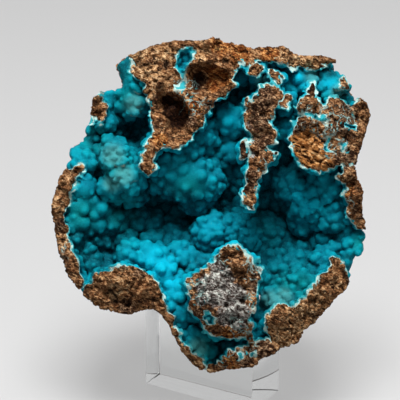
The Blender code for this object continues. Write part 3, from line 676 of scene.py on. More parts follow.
def sampled(field, axes, points):
    """Field values at points, by trilinear interpolation."""
    cell = axes[0][1] - axes[0][0]
    place = [(points[:, k] - axes[k][0]) / cell for k in range(3)]
    low = [np.clip(np.floor(p).astype(int), 0, field.shape[k] - 2) for k, p in enumerate(place)]
    part = [np.clip(p - first, 0.0, 1.0) for p, first in zip(place, low)]
    total = np.zeros(len(points))
    for corner in np.ndindex(2, 2, 2):
        shares = [p if far else 1 - p for p, far in zip(part, corner)]
        cells = tuple(first + far for first, far in zip(low, corner))
        total += shares[0] * shares[1] * shares[2] * field[cells]
    return total


def surface(field, axes):
    """Points and faces where a field is zero."""
    grid = openvdb.FloatGrid(10.0)
    grid.copyFromArray(np.ascontiguousarray(field, np.float32))
    points, triangles, quads = grid.convertToPolygons(isovalue=0.0, adaptivity=0.0)
    corner = np.array([axis[0] for axis in axes])
    cell = axes[0][1] - axes[0][0]
    return points * cell + corner, quads[:, ::-1], triangles[:, ::-1]


def outward(field, axes, points):
    """Outward direction of a field at points."""
    step = 2.0 * (axes[0][1] - axes[0][0])
    rows = []
    for k in range(3):
        shift = np.zeros(3)
        shift[k] = step
        rows.append(sampled(field, axes, points + shift) - sampled(field, axes, points - shift))
    direction = np.stack(rows, 1)
    return direction / np.maximum(np.linalg.norm(direction, axis=1, keepdims=True), 1e-6)


def grow_globules(crust, axes, hull, broken, seed):
    """Cover the crust with globules, the smaller ones on the larger, none of them on its back."""
    stride = max(1, round(GLOBULE_STEP / (axes[0][1] - axes[0][0])))
    coarse = tuple(axis[::stride] for axis in axes)
    for step, (spacing, smallest, largest, sink, least_grain) in enumerate(GLOBULES):
        points, _, _ = surface(crust[::stride, ::stride, ::stride], coarse)
        depth = -sampled(broken, axes, points)
        on_side = sampled(hull, axes, points) > -SIDE_SKIN
        points = points[~(on_side & (depth > DEEP)) & (depth > 0.2)]
        points = points[scattered(points, spacing, seed + step)]
        rng = np.random.default_rng(seed + 10 + step)
        radii = rng.uniform(smallest, largest, len(points))
        radii *= 0.3 + 0.7 * ramp(-sampled(broken, axes, points), 0.0, 6.0)
        keep = (radii > SMALLEST_GLOBULE) & (grain_factor(points) >= least_grain)
        points, radii = points[keep], radii[keep]
        centres = points - outward(crust, axes, points) * (radii * sink)[:, None]
        crust = add_balls(crust, axes, centres, radii, GLOBULE_SOFTNESS)
    return crust


def blurred(field, cells):
    """Mean of a field over a small cube around each cell."""
    width = 2 * cells + 1
    for axis in range(3):
        padded = np.pad(field, [(cells + 1, cells) if k == axis else (0, 0) for k in range(3)], "edge")
        total = np.cumsum(padded, axis, dtype=np.float32)
        high = np.take(total, range(width, total.shape[axis]), axis)
        low = np.take(total, range(0, total.shape[axis] - width), axis)
        field = (high - low) / width
    return field


def front_field(axes, w, front):
    """Everything behind the broken front, less the pockets worn into it."""
    broken = w - front + relief(axes, FRONT_LUMPS, SEEDS["front"])
    broken = broken + flat_ripples(axes, FRONT_CHIPS, SEEDS["chips"])
    return -add_balls(-broken, axes, *listed_balls(POCKETS), POCKET_SOFTNESS)


def lining_field(cell, axes, u, v, w, front, hull):
    """Surface of the hollow with its rounded masses; behind it, enough rock is kept at the back."""
    hollow = depth_map(HOLLOW_DEPTHS, u, v, HOLLOW_SOFTNESS)
    slope_u, slope_v = np.gradient(hollow, cell)
    steepness = np.sqrt(1.0 + slope_u ** 2 + slope_v ** 2)[:, :, None]
    back_wall = np.maximum(-hull - BACK_WALL, DEEP - front + w)
    lining = joined((w - hollow[:, :, None]) / steepness, back_wall, 3.0)
    return add_balls(lining, axes, *listed_balls(MASSES), MASS_SOFTNESS)


def crust_field(settings, axes, lining, fins, bed, broken, hull):
    """Crust on the lining and, thinner, on the broken walls, ending flush with the front."""
    rim = settings.rim + flat_ripples(axes, RIM_CHANGES, SEEDS["rim"])
    grown = cut_by(joined(lining, fins - rim, 1.5), hull, 2.5)
    grown = grow_globules(grown, axes, hull, broken, settings.seed)
    flush = broken - np.clip(bed * 1.2 - 1.6, -0.35, 6.0)
    outside = hull - np.clip(bed, -0.4, 1.0)
    return np.maximum(np.maximum(grown, flush), np.maximum(outside, -bed - 1.2))


def stone_fields(settings):
    """Rock, crust and the fields that their colours are read from, worked out once."""
    if stone_fields.made:
        return stone_fields.made
    cell = settings.cell
    axes = tuple(np.arange(low, high, cell) for low, high in REACH)
    u, v = np.meshgrid(axes[0], axes[1], indexing="ij")
    w = axes[2][None, None, :].astype(np.float32)
    front = depth_map(FRONT_DEPTHS, u, v, FRONT_SOFTNESS)[:, :, None]
    broken = front_field(axes, w, front)
    hull = hull_field(axes, u, v, w, front)
    fins = fin_field(axes, u, v, w, front)
    lining = lining_field(cell, axes, u, v, w, front, hull)
    bed = joined(lining + settings.crust, fins, 2.0)
    rest = rest_field(u, v, w)
    rock = np.maximum(cut_by(cut_by(hull, broken, 1.0), bed, 0.5), -rest)
    crust = np.maximum(crust_field(settings, axes, lining, fins, bed, broken, hull), -rest)
    seam = flat_ripples(axes, SEAM_WAVES, SEEDS["seam"]) + v[:, :, None] + SEAM_SLOPE * w
    made = {"axes": axes, "rock": rock, "crust": crust, "bed": bed, "broken": broken, "seam": seam}
    whole = np.minimum(rock, crust)
    for name, reach, least in BLURS:
        made[name] = blurred(whole, max(least, round(reach / cell)))
    stone_fields.made = made
    return made


stone_fields.made = None


def without_crumbs(mesh, least=500):
    """Remove connected pieces of a mesh that have only a few vertices."""
    count = len(mesh.vertices)
    edges = np.empty(len(mesh.edges) * 2, np.int32)
    mesh.edges.foreach_get("vertices", edges)
    edges = edges.reshape(-1, 2)
    label = np.arange(count)
    while True:
        low = np.minimum(label[edges[:, 0]], label[edges[:, 1]])
        new = label.copy()
        np.minimum.at(new, edges[:, 0], low)
        np.minimum.at(new, edges[:, 1], low)
        new = new[new]
        if np.array_equal(new, label):
            break
        label = new
    small = np.bincount(label, minlength=count)[label] < least
    if not small.any():
        return
    shape = bmesh.new()
    shape.from_mesh(mesh)
    stray = [vertex for vertex, crumb in zip(shape.verts, small) if crumb]
    bmesh.ops.delete(shape, geom=stray, context="VERTS")
    shape.to_mesh(mesh)
    shape.free()


def mesh_object(name, field, axes):
    """Object of a field's surface in the face's frame."""
    points, quads, extra = surface(field, axes)
    mesh = bpy.data.meshes.new(name)
    mesh.from_pydata(points.tolist(), [], quads.tolist() + extra.tolist())
    without_crumbs(mesh)
    thing = bpy.data.objects.new(name, mesh)
    bpy.context.scene.collection.objects.link(thing)
    return thing


def thin_out(thing, triangles):
    """Thin a mesh to a number of triangles, closest where its surface is rough."""
    total = sum(len(face.vertices) - 2 for face in thing.data.polygons)
    if total > triangles:
        thin = thing.modifiers.new("thin out", "DECIMATE")
        thin.ratio = triangles / total
        bake(thing)


def bake(thing):
    """Turn an object's modifiers into its mesh."""
    depsgraph = bpy.context.evaluated_depsgraph_get()
    mesh = bpy.data.meshes.new_from_object(thing.evaluated_get(depsgraph))
    thing.modifiers.clear()
    thing.data = mesh


def mesh_points(mesh):
    """Vertex positions as an array."""
    points = np.empty(len(mesh.vertices) * 3)
    mesh.vertices.foreach_get("co", points)
    return points.reshape(-1, 3)


def set_values(mesh, name, values):
    """Store one value for each vertex."""
    mesh.attributes.new(name, "FLOAT", "POINT").data.foreach_set("value", np.asarray(values, np.float32))


def ramp(values, low, high):
    """Smooth step from 0 at low to 1 at high."""
    t = np.clip((values - low) / (high - low), 0.0, 1.0)
    return t * t * (3.0 - 2.0 * t)


def place_in_world(mesh):
    """Move a mesh from the face's millimetres to the world's metres, shaded smooth."""
    mesh.transform(Matrix.Scale(MM, 4) @ face_to_world())
    mesh.shade_smooth()


def dress(thing, look, node):
    """Give a finished piece its material and its place in the model."""
    thing.data.materials.clear()
    thing.data.materials.append(look)
    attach(thing, "root")
    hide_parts(node)


def add_node(tree, kind, inputs=None, **settings):
    """Node with its settings and its inputs, each a value or a socket to link from."""
    made = tree.nodes.new(kind)
    for name, value in settings.items():
        setattr(made, name, value)
    for name, value in (inputs or {}).items():
        socket = made.inputs[name]
        if isinstance(value, bpy.types.NodeSocket):
            tree.links.new(value, socket)
        else:
            socket.default_value = value
    return made


def compute(tree, operation, *values):
    """Math node's result."""
    return add_node(tree, "ShaderNodeMath", dict(enumerate(values)), operation=operation).outputs[0]


def plus(tree, a, b):
    """Sum of two values."""
    return compute(tree, "ADD", a, b)


def minus(tree, a, b):
    """Difference of two values."""
    return compute(tree, "SUBTRACT", a, b)


def times(tree, a, b):
    """Product of two values."""
    return compute(tree, "MULTIPLY", a, b)


def mixed(tree, factor, a, b):
    """Colour between a and b."""
    return add_node(tree, "ShaderNodeMix", {0: factor, 6: a, 7: b}, data_type="RGBA").outputs[2]


def tinted(tree, colour, mask, strength, shade):
    """Colour turned towards a shade by a share of a mask."""
    return mixed(tree, times(tree, mask, strength), colour, shade)


def bent(tree, vector, scale, detail, amount):
    """Vector shifted about by a noise."""
    bend = add_node(tree, "ShaderNodeTexNoise", {"Vector": vector, "Scale": scale, "Detail": detail})
    shift = add_node(tree, "ShaderNodeVectorMath", {0: bend.outputs["Color"], "Scale": amount},
                     operation="SCALE")
    return add_node(tree, "ShaderNodeVectorMath", {0: vector, 1: shift.outputs[0]}).outputs[0]


def slanted(tree, vector, degrees, scale):
    """Vector for a texture that is stretched and slopes down to the right."""
    return add_node(tree, "ShaderNodeMapping", {
        "Vector": vector, "Rotation": (0.0, math.radians(degrees), 0.0), "Scale": scale,
    }, vector_type="TEXTURE").outputs[0]


def add_bump(tree, shader, height, strength, distance):
    """Bump on a shader."""
    bump = add_node(tree, "ShaderNodeBump", {"Height": height, "Strength": strength, "Distance": distance})
    tree.links.new(bump.outputs[0], shader.inputs["Normal"])


def stepped(tree, value, low, high):
    """Value turned into a smooth step between low and high."""
    return add_node(tree, "ShaderNodeMapRange", {0: value, 1: low, 2: high},
                    interpolation_type="SMOOTHSTEP").outputs[0]


def noise(tree, vector, scale, detail=4.0, rough=0.6, distortion=0.0):
    """Noise value with features about 1/scale metres across."""
    return add_node(tree, "ShaderNodeTexNoise", {
        "Vector": vector, "Scale": scale, "Detail": detail, "Roughness": rough,
        "Distortion": distortion}).outputs[0]


def attribute(tree, name):
    """Value stored on the mesh."""
    return add_node(tree, "ShaderNodeAttribute", attribute_name=name).outputs["Fac"]


def node_group(name, inputs, outputs, kind="ShaderNodeTree"):
    """Empty node group with named inputs and outputs."""
    group = bpy.data.node_groups.new(name, kind)
    for label, value_kind, value in inputs:
        socket = group.interface.new_socket(label, in_out="INPUT", socket_type="NodeSocket" + value_kind)
        if value is not None:
            socket.default_value = value
    for label, value_kind in outputs:
        group.interface.new_socket(label, in_out="OUTPUT", socket_type="NodeSocket" + value_kind)
    return group, group.nodes.new("NodeGroupInput").outputs, group.nodes.new("NodeGroupOutput").inputs


def grit_group():
    """Fine structure of earthy mineral: wavy ridges, crumbs between them and small dark pits."""
    group, given, result = node_group(
        "mineral grit", [("Vector", "Vector", None), ("Grain", "Float", 600.0), ("Waver", "Float", 0.0022)],
        [("Value", "Float"), ("Pits", "Float"), ("Height", "Float")])
    grain = given["Grain"]
    moved = bent(group, given["Vector"], times(group, grain, 0.35), 3.0, given["Waver"])
    fold = compute(group, "ABSOLUTE", minus(group, noise(group, moved, grain, 4.0, 0.55), 0.5))
    ridge = minus(group, 1.0, times(group, fold, 5.0))
    cells = add_node(group, "ShaderNodeTexVoronoi", {"Vector": moved, "Scale": times(group, grain, 1.5)})
    bead = minus(group, 1.0, cells.outputs["Distance"])
    height = plus(group, times(group, ridge, 0.75), times(group, bead, 0.25))
    hollow = noise(group, moved, times(group, grain, 0.9), 3.0, 0.6)
    pits = minus(group, 1.0, stepped(group, hollow, 0.37, 0.45))
    tint = noise(group, moved, times(group, grain, 1.1), 6.0, 0.8)
    value = plus(group, times(group, tint, 0.75), times(group, height, 0.25))
    value = plus(group, times(group, minus(group, value, 0.51), 1.35), 0.51)
    group.links.new(value, result["Value"])
    group.links.new(pits, result["Pits"])
    group.links.new(minus(group, height, times(group, pits, 0.8)), result["Height"])
    return group


def tone_group():
    """Dark, middle or light colour by the grit's value."""
    tones = [(tone, "Color", None) for tone in ("Dark", "Middle", "Light")]
    group, given, result = node_group("three tones", [("Value", "Float", 0.5), *tones], [("Color", "Color")])
    low = mixed(group, stepped(group, given["Value"], 0.38, 0.52), given["Dark"], given["Middle"])
    high = mixed(group, stepped(group, given["Value"], 0.52, 0.66), low, given["Light"])
    group.links.new(high, result["Color"])
    return group


def vein_group():
    """Thin wandering lines, and small round vugs between them."""
    group, given, result = node_group(
        "thin veins", [("Vector", "Vector", None), ("Scale", "Float", 150.0), ("Width", "Float", 0.03)],
        [("Lines", "Float"), ("Vugs", "Float")])
    moved = bent(group, given["Vector"], times(group, given["Scale"], 1.3), 4.0, 0.006)
    inputs = {"Vector": moved, "Scale": given["Scale"]}
    borders = add_node(group, "ShaderNodeTexVoronoi", inputs, feature="DISTANCE_TO_EDGE")
    line = compute(group, "DIVIDE", borders.outputs["Distance"], given["Width"])
    group.links.new(minus(group, 1.0, stepped(group, line, 0.3, 1.0)), result["Lines"])
    middles = add_node(group, "ShaderNodeTexVoronoi", inputs).outputs["Distance"]
    group.links.new(minus(group, 1.0, stepped(group, middles, 0.12, 0.2)), result["Vugs"])
    return group


def use_group(tree, group, inputs):
    """Shared effect placed in a material."""
    return add_node(tree, "ShaderNodeGroup", inputs, node_tree=group).outputs


def new_material(name, roughness):
    """Material with a Principled shader and object coordinates."""
    made = bpy.data.materials.new(name)
    made.use_nodes = True
    tree = made.node_tree
    shader = tree.nodes["Principled BSDF"]
    shader.inputs["Roughness"].default_value = roughness
    place = tree.nodes.new("ShaderNodeTexCoord").outputs["Object"]
    return made, tree, shader, place


def patchy(tree, name, speckle, low, high):
    """Mask of a stored patch with a ragged border."""
    return stepped(tree, plus(tree, attribute(tree, name), times(tree, speckle, 1.1)), low, high)


def bedding_cracks(tree, place, layers):
    """Thin dark lines along the bedding, in some places only."""
    seam = noise(tree, layers, 150.0, 4.0, 0.6, 0.4)
    away = compute(tree, "ABSOLUTE", minus(tree, seam, 0.5))
    line = minus(tree, 1.0, stepped(tree, away, 0.006, 0.032))
    return times(tree, line, stepped(tree, noise(tree, place, 120.0, 3.0), 0.44, 0.54))


def veined(tree, colour, place, broad, veins):
    """Colour crossed by pale lines and dotted with turquoise vugs, on the patches of veins."""
    lines = use_group(tree, veins, {"Vector": place, "Scale": 190.0, "Width": 0.06})
    near = times(tree, patchy(tree, "veins", broad, 0.25, 0.6), 0.85)
    gate = stepped(tree, noise(tree, place, 200.0, 3.0), 0.36, 0.44)
    shown = times(tree, lines["Lines"], gate)
    colour = mixed(tree, times(tree, shown, near), colour, ROCK_SHADES["vein"])
    return mixed(tree, times(tree, lines["Vugs"], near), colour, ROCK_SHADES["vug"])


def limonite_material(settings, groups):
    """Broken limonite: gritty brown with rust, tan and grey patches, painted shade in pockets and hollows,
    veins and a pale edge.
    """
    made, tree, shader, place = new_material("broken limonite", 0.9)
    grit, tones, veins = groups
    layers = slanted(tree, place, 20.0, (1.5, 1.0, 0.8))
    streak = noise(tree, slanted(tree, place, 28.0, (5.0, 1.5, 1.0)), 820.0, 4.0, 0.6, 0.8)
    crack_and_crease_shade = bedding_cracks(tree, place, layers)
    rough = use_group(tree, grit, {"Vector": layers, "Grain": 560.0})
    value = plus(tree, rough["Value"], times(tree, attribute(tree, "relief"), 0.14))
    broad = minus(tree, noise(tree, place, 150.0, 6.0, 0.7, 1.0), 0.5)

    def toned(kind, by=value):
        dark, middle, light = ROCK_TONES[kind]
        shades = {"Value": by, "Dark": dark, "Middle": middle or settings.brown, "Light": light}
        return use_group(tree, tones, shades)["Color"]

    colour = mixed(tree, stepped(tree, broad, 0.0, 0.16), toned("brown"), toned("tan"))
    colour = mixed(tree, stepped(tree, broad, -0.04, -0.16), colour, toned("umber"))
    # The dark patches laid here are painted shade
    for name, low, high in ROCK_PATCHES:
        colour = mixed(tree, patchy(tree, name, broad, low, high), colour, toned(name))
    colour = tinted(tree, colour, rough["Pits"], 0.85, ROCK_SHADES["pit"])
    colour = tinted(tree, colour, crack_and_crease_shade, 0.8, ROCK_SHADES["crack_and_crease_shade"])
    fibrous = patchy(tree, "ochre", broad, 0.3, 0.65)
    gaps = minus(tree, 1.0, stepped(tree, streak, 0.40, 0.48))
    fibres = tinted(tree, toned("ochre", streak), gaps, 0.9, ROCK_SHADES["gap"])
    colour = mixed(tree, fibrous, colour, fibres)
    # Painted shade in the rock's creases and hollows
    hollows = stepped(tree, attribute(tree, "crease"), 0.1, 0.9)
    colour = tinted(tree, colour, hollows, 0.8, ROCK_SHADES["hollow"])
    colour = veined(tree, colour, place, broad, veins)
    edge = plus(tree, attribute(tree, "edge"), times(tree, broad, 1.3))
    colour = tinted(tree, colour, stepped(tree, edge, 0.45, 0.8), 0.8, ROCK_SHADES["edge"])
    tree.links.new(colour, shader.inputs["Base Color"])
    plain = times(tree, minus(tree, 1.0, fibrous), rough["Height"])
    height = plus(tree, plain, times(tree, fibrous, times(tree, streak, 2.5)))
    add_bump(tree, shader, minus(tree, height, crack_and_crease_shade), 1.0, 0.0012)
    shader.inputs["Specular IOR Level"].default_value = 0.08
    return made


def turquoise_material(settings, groups):
    """Botryoidal crust: turquoise with painted shade in creases, recesses, depths and patches, painted light
    and highlights, dusted and greener in places.
    """
    made, tree, shader, place = new_material("botryoidal turquoise", 0.55)
    fine = use_group(tree, groups[0], {"Vector": place, "Grain": 1300.0, "Waver": 0.0006})
    speck = minus(tree, fine["Value"], 0.5)
    crease = attribute(tree, "crease")

    def speckled(name, amount):
        return plus(tree, attribute(tree, name), times(tree, speck, amount))

    masks = (
        ("green", attribute(tree, "green"), 0.85),
        # Painted light on the lit patches
        ("painted_light", attribute(tree, "painted_light"), 0.9),
        # Painted shade on the shaded patches
        ("shaded", stepped(tree, attribute(tree, "shaded"), 0.1, 0.8), 0.9),
        # Painted highlight: lighter crust on the crests of the globules
        ("crest_highlight", stepped(tree, times(tree, crease, -1.0), 0.2, 1.0), 0.3),
        # Painted shade: darker crust in the creases between globules
        ("crack_and_crease_shade", stepped(tree, crease, -0.1, 0.7), 0.85),
        # Painted shade in the crust's larger recesses
        ("recess", attribute(tree, "recess"), 0.8),
        # Painted shade: darker the deeper the crust lies behind the broken front
        ("deep", attribute(tree, "deep"), 0.6),
        ("grain", stepped(tree, speck, 0.0, 0.2), 0.25),
        ("faded", stepped(tree, attribute(tree, "faded"), 0.1, 0.8), 0.7),
        ("dust", stepped(tree, speckled("dust", 1.2), 0.2, 0.7), 0.8),
        ("rim", stepped(tree, speckled("rim", 1.5), 0.5, 1.0), 0.6),
        ("edge", stepped(tree, speckled("edge", 1.3), 0.4, 0.8), 0.85),
    )
    tone = stepped(tree, noise(tree, place, 110.0, 5.0, 0.65), 0.36, 0.64)
    colour = mixed(tree, tone, CRUST_SHADES["dim"], settings.turquoise)
    for name, mask, strength in masks:
        colour = tinted(tree, colour, mask, strength, CRUST_SHADES[name])
    tree.links.new(colour, shader.inputs["Base Color"])
    add_bump(tree, shader, fine["Height"], 0.5, 0.0005)
    shader.inputs["Specular IOR Level"].default_value = 0.05
    return made


def acrylic_material(settings):
    """Clear cast acrylic with faint polishing haze."""
    made, tree, shader, place = new_material("clear acrylic", 0.02)
    shader.inputs["Base Color"].default_value = (0.98, 0.99, 0.99, 1.0)
    shader.inputs["Transmission Weight"].default_value = settings.clarity
    shader.inputs["IOR"].default_value = 1.49
    haze = noise(tree, place, 120.0, 6.0, 0.7)
    tree.links.new(times(tree, stepped(tree, haze, 0.55, 0.9), 0.12), shader.inputs["Roughness"])
    return made


def stage_material(settings):
    """Matt pale paper."""
    made, tree, shader, place = new_material("pale paper", 0.9)
    mild = noise(tree, place, 3.0, 2.0)
    colour = mixed(tree, times(tree, mild, 0.04), settings.floor, (0.3, 0.3, 0.3, 1))
    tree.links.new(colour, shader.inputs["Base Color"])
    shader.inputs["Emission Color"].default_value = (1.0, 1.0, 1.0, 1.0)
    bounce = tree.nodes.new("ShaderNodeLightPath").outputs["Is Diffuse Ray"]
    dimmed = minus(tree, 1.0, times(tree, bounce, 0.8))
    tree.links.new(times(tree, dimmed, settings.floor_glow), shader.inputs["Emission Strength"])
    return made


def store_looks(thing, fields):
    """Store on the mesh what its material needs: creases, depths and recesses for painted shade and
    highlights, rims, edges and colour patches.
    """
    mesh = thing.data
    points = mesh_points(mesh)
    axes = fields["axes"]
    bed, broken, fine, wide, recess = (
        sampled(fields[name], axes, points) for name in ("bed", "broken", "fine", "wide", "recess"))
    at_front = ramp(broken, -1.5, -0.5)
    # Creases drive painted shade in hollows and between globules, and painted highlights on crests
    set_values(mesh, "crease", -(fine * 1.6 + wide * 0.3))
    # Painted shade: grows with depth behind the broken front
    set_values(mesh, "deep", ramp(-broken, 9.0, 30.0))
    # Painted shade: how far a point lies in a larger recess
    set_values(mesh, "recess", ramp(-recess, -0.6, 2.2))
    set_values(mesh, "rim", at_front * (1.0 - ramp(bed, 0.6, 2.0)))
    set_values(mesh, "edge", at_front * (1.0 - ramp(np.abs(bed - 0.1), 0.12, 0.62)))
    facing = ramp(points[:, 2], -45.0, -34.0)
    normals = np.empty(len(points) * 3)
    mesh.vertex_normals.foreach_get("vector", normals)
    normals = normals.reshape(-1, 3)
    upward = ramp(normals[:, 1] * math.cos(LEAN) + normals[:, 2] * math.sin(LEAN), 0.1, 0.8)
    for name, patches in PATCHES.items():
        weight = patch_weight(points, patches) * facing
        set_values(mesh, name, weight * upward if name == "dust" else weight)
    set_values(mesh, "bare", ramp(bed, 0.2, -0.6))


def roughen_tree():
    """Geometry Nodes: chips and grains along the bare rock's normals, with their height kept."""
    sizes = [(label, "Float", value) for label, value in CHIPS]
    tree, given, result = node_group(
        "roughen bare rock", [("Geometry", "Geometry", None), *sizes, ("Material", "Material", None)],
        [("Geometry", "Geometry")], "GeometryNodeTree")
    place = tree.nodes.new("GeometryNodeInputPosition").outputs[0]
    chip = noise(tree, place, compute(tree, "DIVIDE", 1.0, given["Chip size"]), 4.0, 0.6, 1.0)
    ridge = compute(tree, "ABSOLUTE", minus(tree, chip, 0.5))
    ridge = minus(tree, times(tree, ridge, 6.0), 0.6)
    cells = add_node(tree, "ShaderNodeTexVoronoi", {
        "Vector": place, "Scale": compute(tree, "DIVIDE", 1.0, given["Grain size"])})
    grain = minus(tree, cells.outputs["Distance"], 0.45)
    height = plus(tree, times(tree, ridge, given["Chip depth"]), times(tree, grain, given["Grain depth"]))
    bare = add_node(tree, "GeometryNodeInputNamedAttribute", {"Name": "bare"}, data_type="FLOAT")
    amount = times(tree, height, bare.outputs["Attribute"])
    relative = compute(tree, "DIVIDE", amount, given["Chip depth"])
    stored = add_node(tree, "GeometryNodeStoreNamedAttribute", {
        "Geometry": given["Geometry"], "Name": "relief", "Value": relative,
    }, data_type="FLOAT", domain="POINT")
    shift = add_node(tree, "ShaderNodeVectorMath", {
        0: tree.nodes.new("GeometryNodeInputNormal").outputs[0], "Scale": amount}, operation="SCALE")
    moved = add_node(tree, "GeometryNodeSetPosition", {
        "Geometry": stored.outputs[0], "Offset": shift.outputs[0]})
    solid = add_node(tree, "GeometryNodeRealizeInstances", {"Geometry": moved.outputs[0]})
    coloured = add_node(tree, "GeometryNodeSetMaterial", {
        "Geometry": solid.outputs[0], "Material": given["Material"]})
    tree.links.new(coloured.outputs[0], result["Geometry"])
    return tree


def run_nodes(thing, tree, values):
    """Run a Geometry Nodes tree on an object with named inputs, and keep the result as its mesh."""
    modifier = thing.modifiers.new(tree.name, "NODES")
    modifier.node_group = tree
    for item in tree.interface.items_tree:
        if item.item_type == "SOCKET" and item.in_out == "INPUT" and item.name in values:
            modifier[item.identifier] = values[item.name]
    bake(thing)


def shared_groups():
    """The effects that several materials use, built once."""
    if not shared_groups.made:
        shared_groups.made = (grit_group(), tone_group(), vein_group())
    return shared_groups.made


shared_groups.made = None


class SPECIMEN_OT_rock(bpy.types.Operator):
    """Brown limonite with its broken faces, worn pockets and rounded back"""
    bl_idname = "specimen.rock"
    bl_label = "Limonite"

    def execute(self, context):
        settings = context.scene.stone
        fields = stone_fields(settings)
        thing = mesh_object("limonite_rock", fields["rock"], fields["axes"])
        store_looks(thing, fields)
        place_in_world(thing.data)
        look = limonite_material(settings, shared_groups())
        run_nodes(thing, roughen_tree(), {"Material": look})
        thin_out(thing, settings.triangles)
        dress(thing, look, "limonite_matrix")
        return {"FINISHED"}


class SPECIMEN_OT_crust(bpy.types.Operator):
    """Turquoise crust with its rounded masses and globules"""
    bl_idname = "specimen.crust"
    bl_label = "Hemimorphite crust"

    def execute(self, context):
        settings = context.scene.stone
        fields = stone_fields(settings)
        look = turquoise_material(settings, shared_groups())
        seam = fields["seam"]
        tucked = fields["crust"] + TUCK * np.maximum(seam, 0.0)
        halves = (("turquoise_roof", np.maximum(fields["crust"], -seam)),
                  ("turquoise_floor", np.maximum(tucked, seam - TUCK_REACH)))
        for name, half in halves:
            thing = mesh_object(name, half, fields["axes"])
            store_looks(thing, fields)
            place_in_world(thing.data)
            thin_out(thing, settings.triangles)
            dress(thing, look, "hemimorphite_crust")
        return {"FINISHED"}


class SPECIMEN_OT_block(bpy.types.Operator):
    """Clear block that the stone rests on"""
    bl_idname = "specimen.block"
    bl_label = "Clear block"

    def execute(self, context):
        settings = context.scene.clear_block
        shape = bmesh.new()
        size = Matrix.Diagonal((BLOCK_LENGTH * MM, BLOCK_WIDTH * MM, BLOCK_HEIGHT * MM, 1.0))
        place = Matrix.Translation((0, 0, BLOCK_HEIGHT / 2 * MM)) @ Matrix.Rotation(BLOCK_TURN, 4, "Z")
        bmesh.ops.create_cube(shape, size=1.0, matrix=place @ size)
        bmesh.ops.bevel(shape, geom=shape.edges, offset=settings.bevel, segments=3, profile=0.5,
                        affect="EDGES")
        mesh = bpy.data.meshes.new("clear_block")
        shape.to_mesh(mesh)
        shape.free()
        mesh.shade_smooth()
        mesh.set_sharp_from_angle(angle=math.radians(35.0))
        thing = bpy.data.objects.new("clear_block", mesh)
        context.scene.collection.objects.link(thing)
        dress(thing, acrylic_material(settings), "acrylic_block")
        return {"FINISHED"}


class SPECIMEN_OT_stage(bpy.types.Operator):
    """Pale floor that curves up behind, soft lights and the camera"""
    bl_idname = "specimen.stage"
    bl_label = "Stage"

    def execute(self, context):
        settings = context.scene.stage
        add_floor(settings)
        add_light("overhead", KEY_PLACE, settings.key_power, KEY_SIZE)
        add_light("front", FILL_PLACE, settings.fill_power, FILL_SIZE)
        world = bpy.data.worlds.new("soft room")
        world.use_nodes = True
        background = world.node_tree.nodes["Background"]
        background.inputs["Color"].default_value = (1.0, 1.0, 1.0, 1.0)
        background.inputs["Strength"].default_value = ROOM_LIGHT
        context.scene.world = world
        context.scene.view_settings.view_transform = "Standard"
        add_camera()
        return {"FINISHED"}


def add_floor(settings):
    """Floor that bends up into a backdrop, in one sheet."""
    profile = [(FLOOR_FRONT, 0.0), (FLOOR_BEND, 0.0)]
    for step in range(1, 13):
        angle = math.pi / 2 * step / 12
        profile.append((FLOOR_BEND + FLOOR_CURVE * math.sin(angle), FLOOR_CURVE * (1.0 - math.cos(angle))))
    profile.append((FLOOR_BEND + FLOOR_CURVE, FLOOR_TOP))
    shape = bmesh.new()
    rows = [[shape.verts.new((x, y, z)) for x in (-FLOOR_SIDE, FLOOR_SIDE)] for y, z in profile]
    for low, high in zip(rows, rows[1:]):
        shape.faces.new((low[0], low[1], high[1], high[0]))
    mesh = bpy.data.meshes.new("pale_floor")
    shape.to_mesh(mesh)
    shape.free()
    mesh.shade_smooth()
    mesh.materials.append(stage_material(settings))
    floor = bpy.data.objects.new("pale_floor", mesh)
    bpy.context.scene.collection.objects.link(floor)


def add_light(name, place, power, size):
    """Soft square light aimed at the specimen."""
    data = bpy.data.lights.new(name, "AREA")
    data.size = size
    data.energy = power
    light = bpy.data.objects.new(name, data)
    light.location = place
    aim = FACE_CENTRE * MM - Vector(place)
    light.rotation_euler = aim.to_track_quat("-Z", "Y").to_euler()
    bpy.context.scene.collection.objects.link(light)


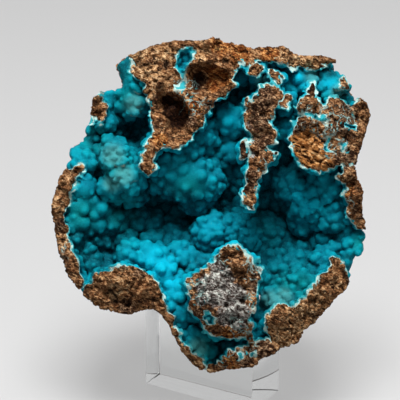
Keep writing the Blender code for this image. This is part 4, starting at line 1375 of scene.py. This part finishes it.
def add_camera():
    """Camera at the picture's height and distance, square to the specimen's face."""
    data = bpy.data.cameras.new("camera")
    data.sensor_width = SENSOR
    data.lens = SENSOR * VIEWING_DISTANCE / (PICTURE_SIZE * FACE_PER_PIXEL)
    data.clip_start = 0.01
    camera = bpy.data.objects.new("camera", data)
    middle = face_to_world() @ Vector((*on_face(PICTURE_SIZE / 2, PICTURE_SIZE / 2, 0), 0.0)) * MM
    outwards = Vector((0.0, -math.cos(LEAN), math.sin(LEAN)))
    camera.location = middle + outwards * VIEWING_DISTANCE * MM
    camera.rotation_euler = (-outwards).to_track_quat("-Z", "Y").to_euler()
    bpy.context.scene.collection.objects.link(camera)
    bpy.context.scene.camera = camera


class SPECIMEN_PT_panel(bpy.types.Panel):
    """Buttons for every piece of the specimen"""
    bl_idname = "SPECIMEN_PT_panel"
    bl_label = "Hemimorphite specimen"
    bl_space_type = "VIEW_3D"
    bl_region_type = "UI"
    bl_category = "Specimen"

    def draw(self, context):
        for operator in OPERATORS:
            self.layout.operator(operator.bl_idname)
        for settings in (context.scene.stone, context.scene.clear_block, context.scene.stage):
            box = self.layout.box()
            for name in settings.__annotations__:
                box.prop(settings, name)


OPERATORS = (SPECIMEN_OT_rock, SPECIMEN_OT_crust, SPECIMEN_OT_block, SPECIMEN_OT_stage)
SETTINGS = (("stone", StoneSettings), ("clear_block", BlockSettings), ("stage", StageSettings))


def register():
    for _, group in SETTINGS:
        bpy.utils.register_class(group)
    for name, group in SETTINGS:
        setattr(bpy.types.Scene, name, PointerProperty(type=group))
    for operator in OPERATORS:
        bpy.utils.register_class(operator)
    bpy.utils.register_class(SPECIMEN_PT_panel)


def unregister():
    bpy.utils.unregister_class(SPECIMEN_PT_panel)
    for operator in reversed(OPERATORS):
        bpy.utils.unregister_class(operator)
    for name, group in reversed(SETTINGS):
        delattr(bpy.types.Scene, name)
        bpy.utils.unregister_class(group)


def main():
    for thing in list(bpy.data.objects):
        if thing.name in ("Cube", "Light", "Camera"):
            bpy.data.objects.remove(thing, do_unlink=True)
    register()
    bpy.ops.specimen.rock()
    bpy.ops.specimen.crust()
    bpy.ops.specimen.block()
    bpy.ops.specimen.stage()


if __name__ == "__main__":
    main()
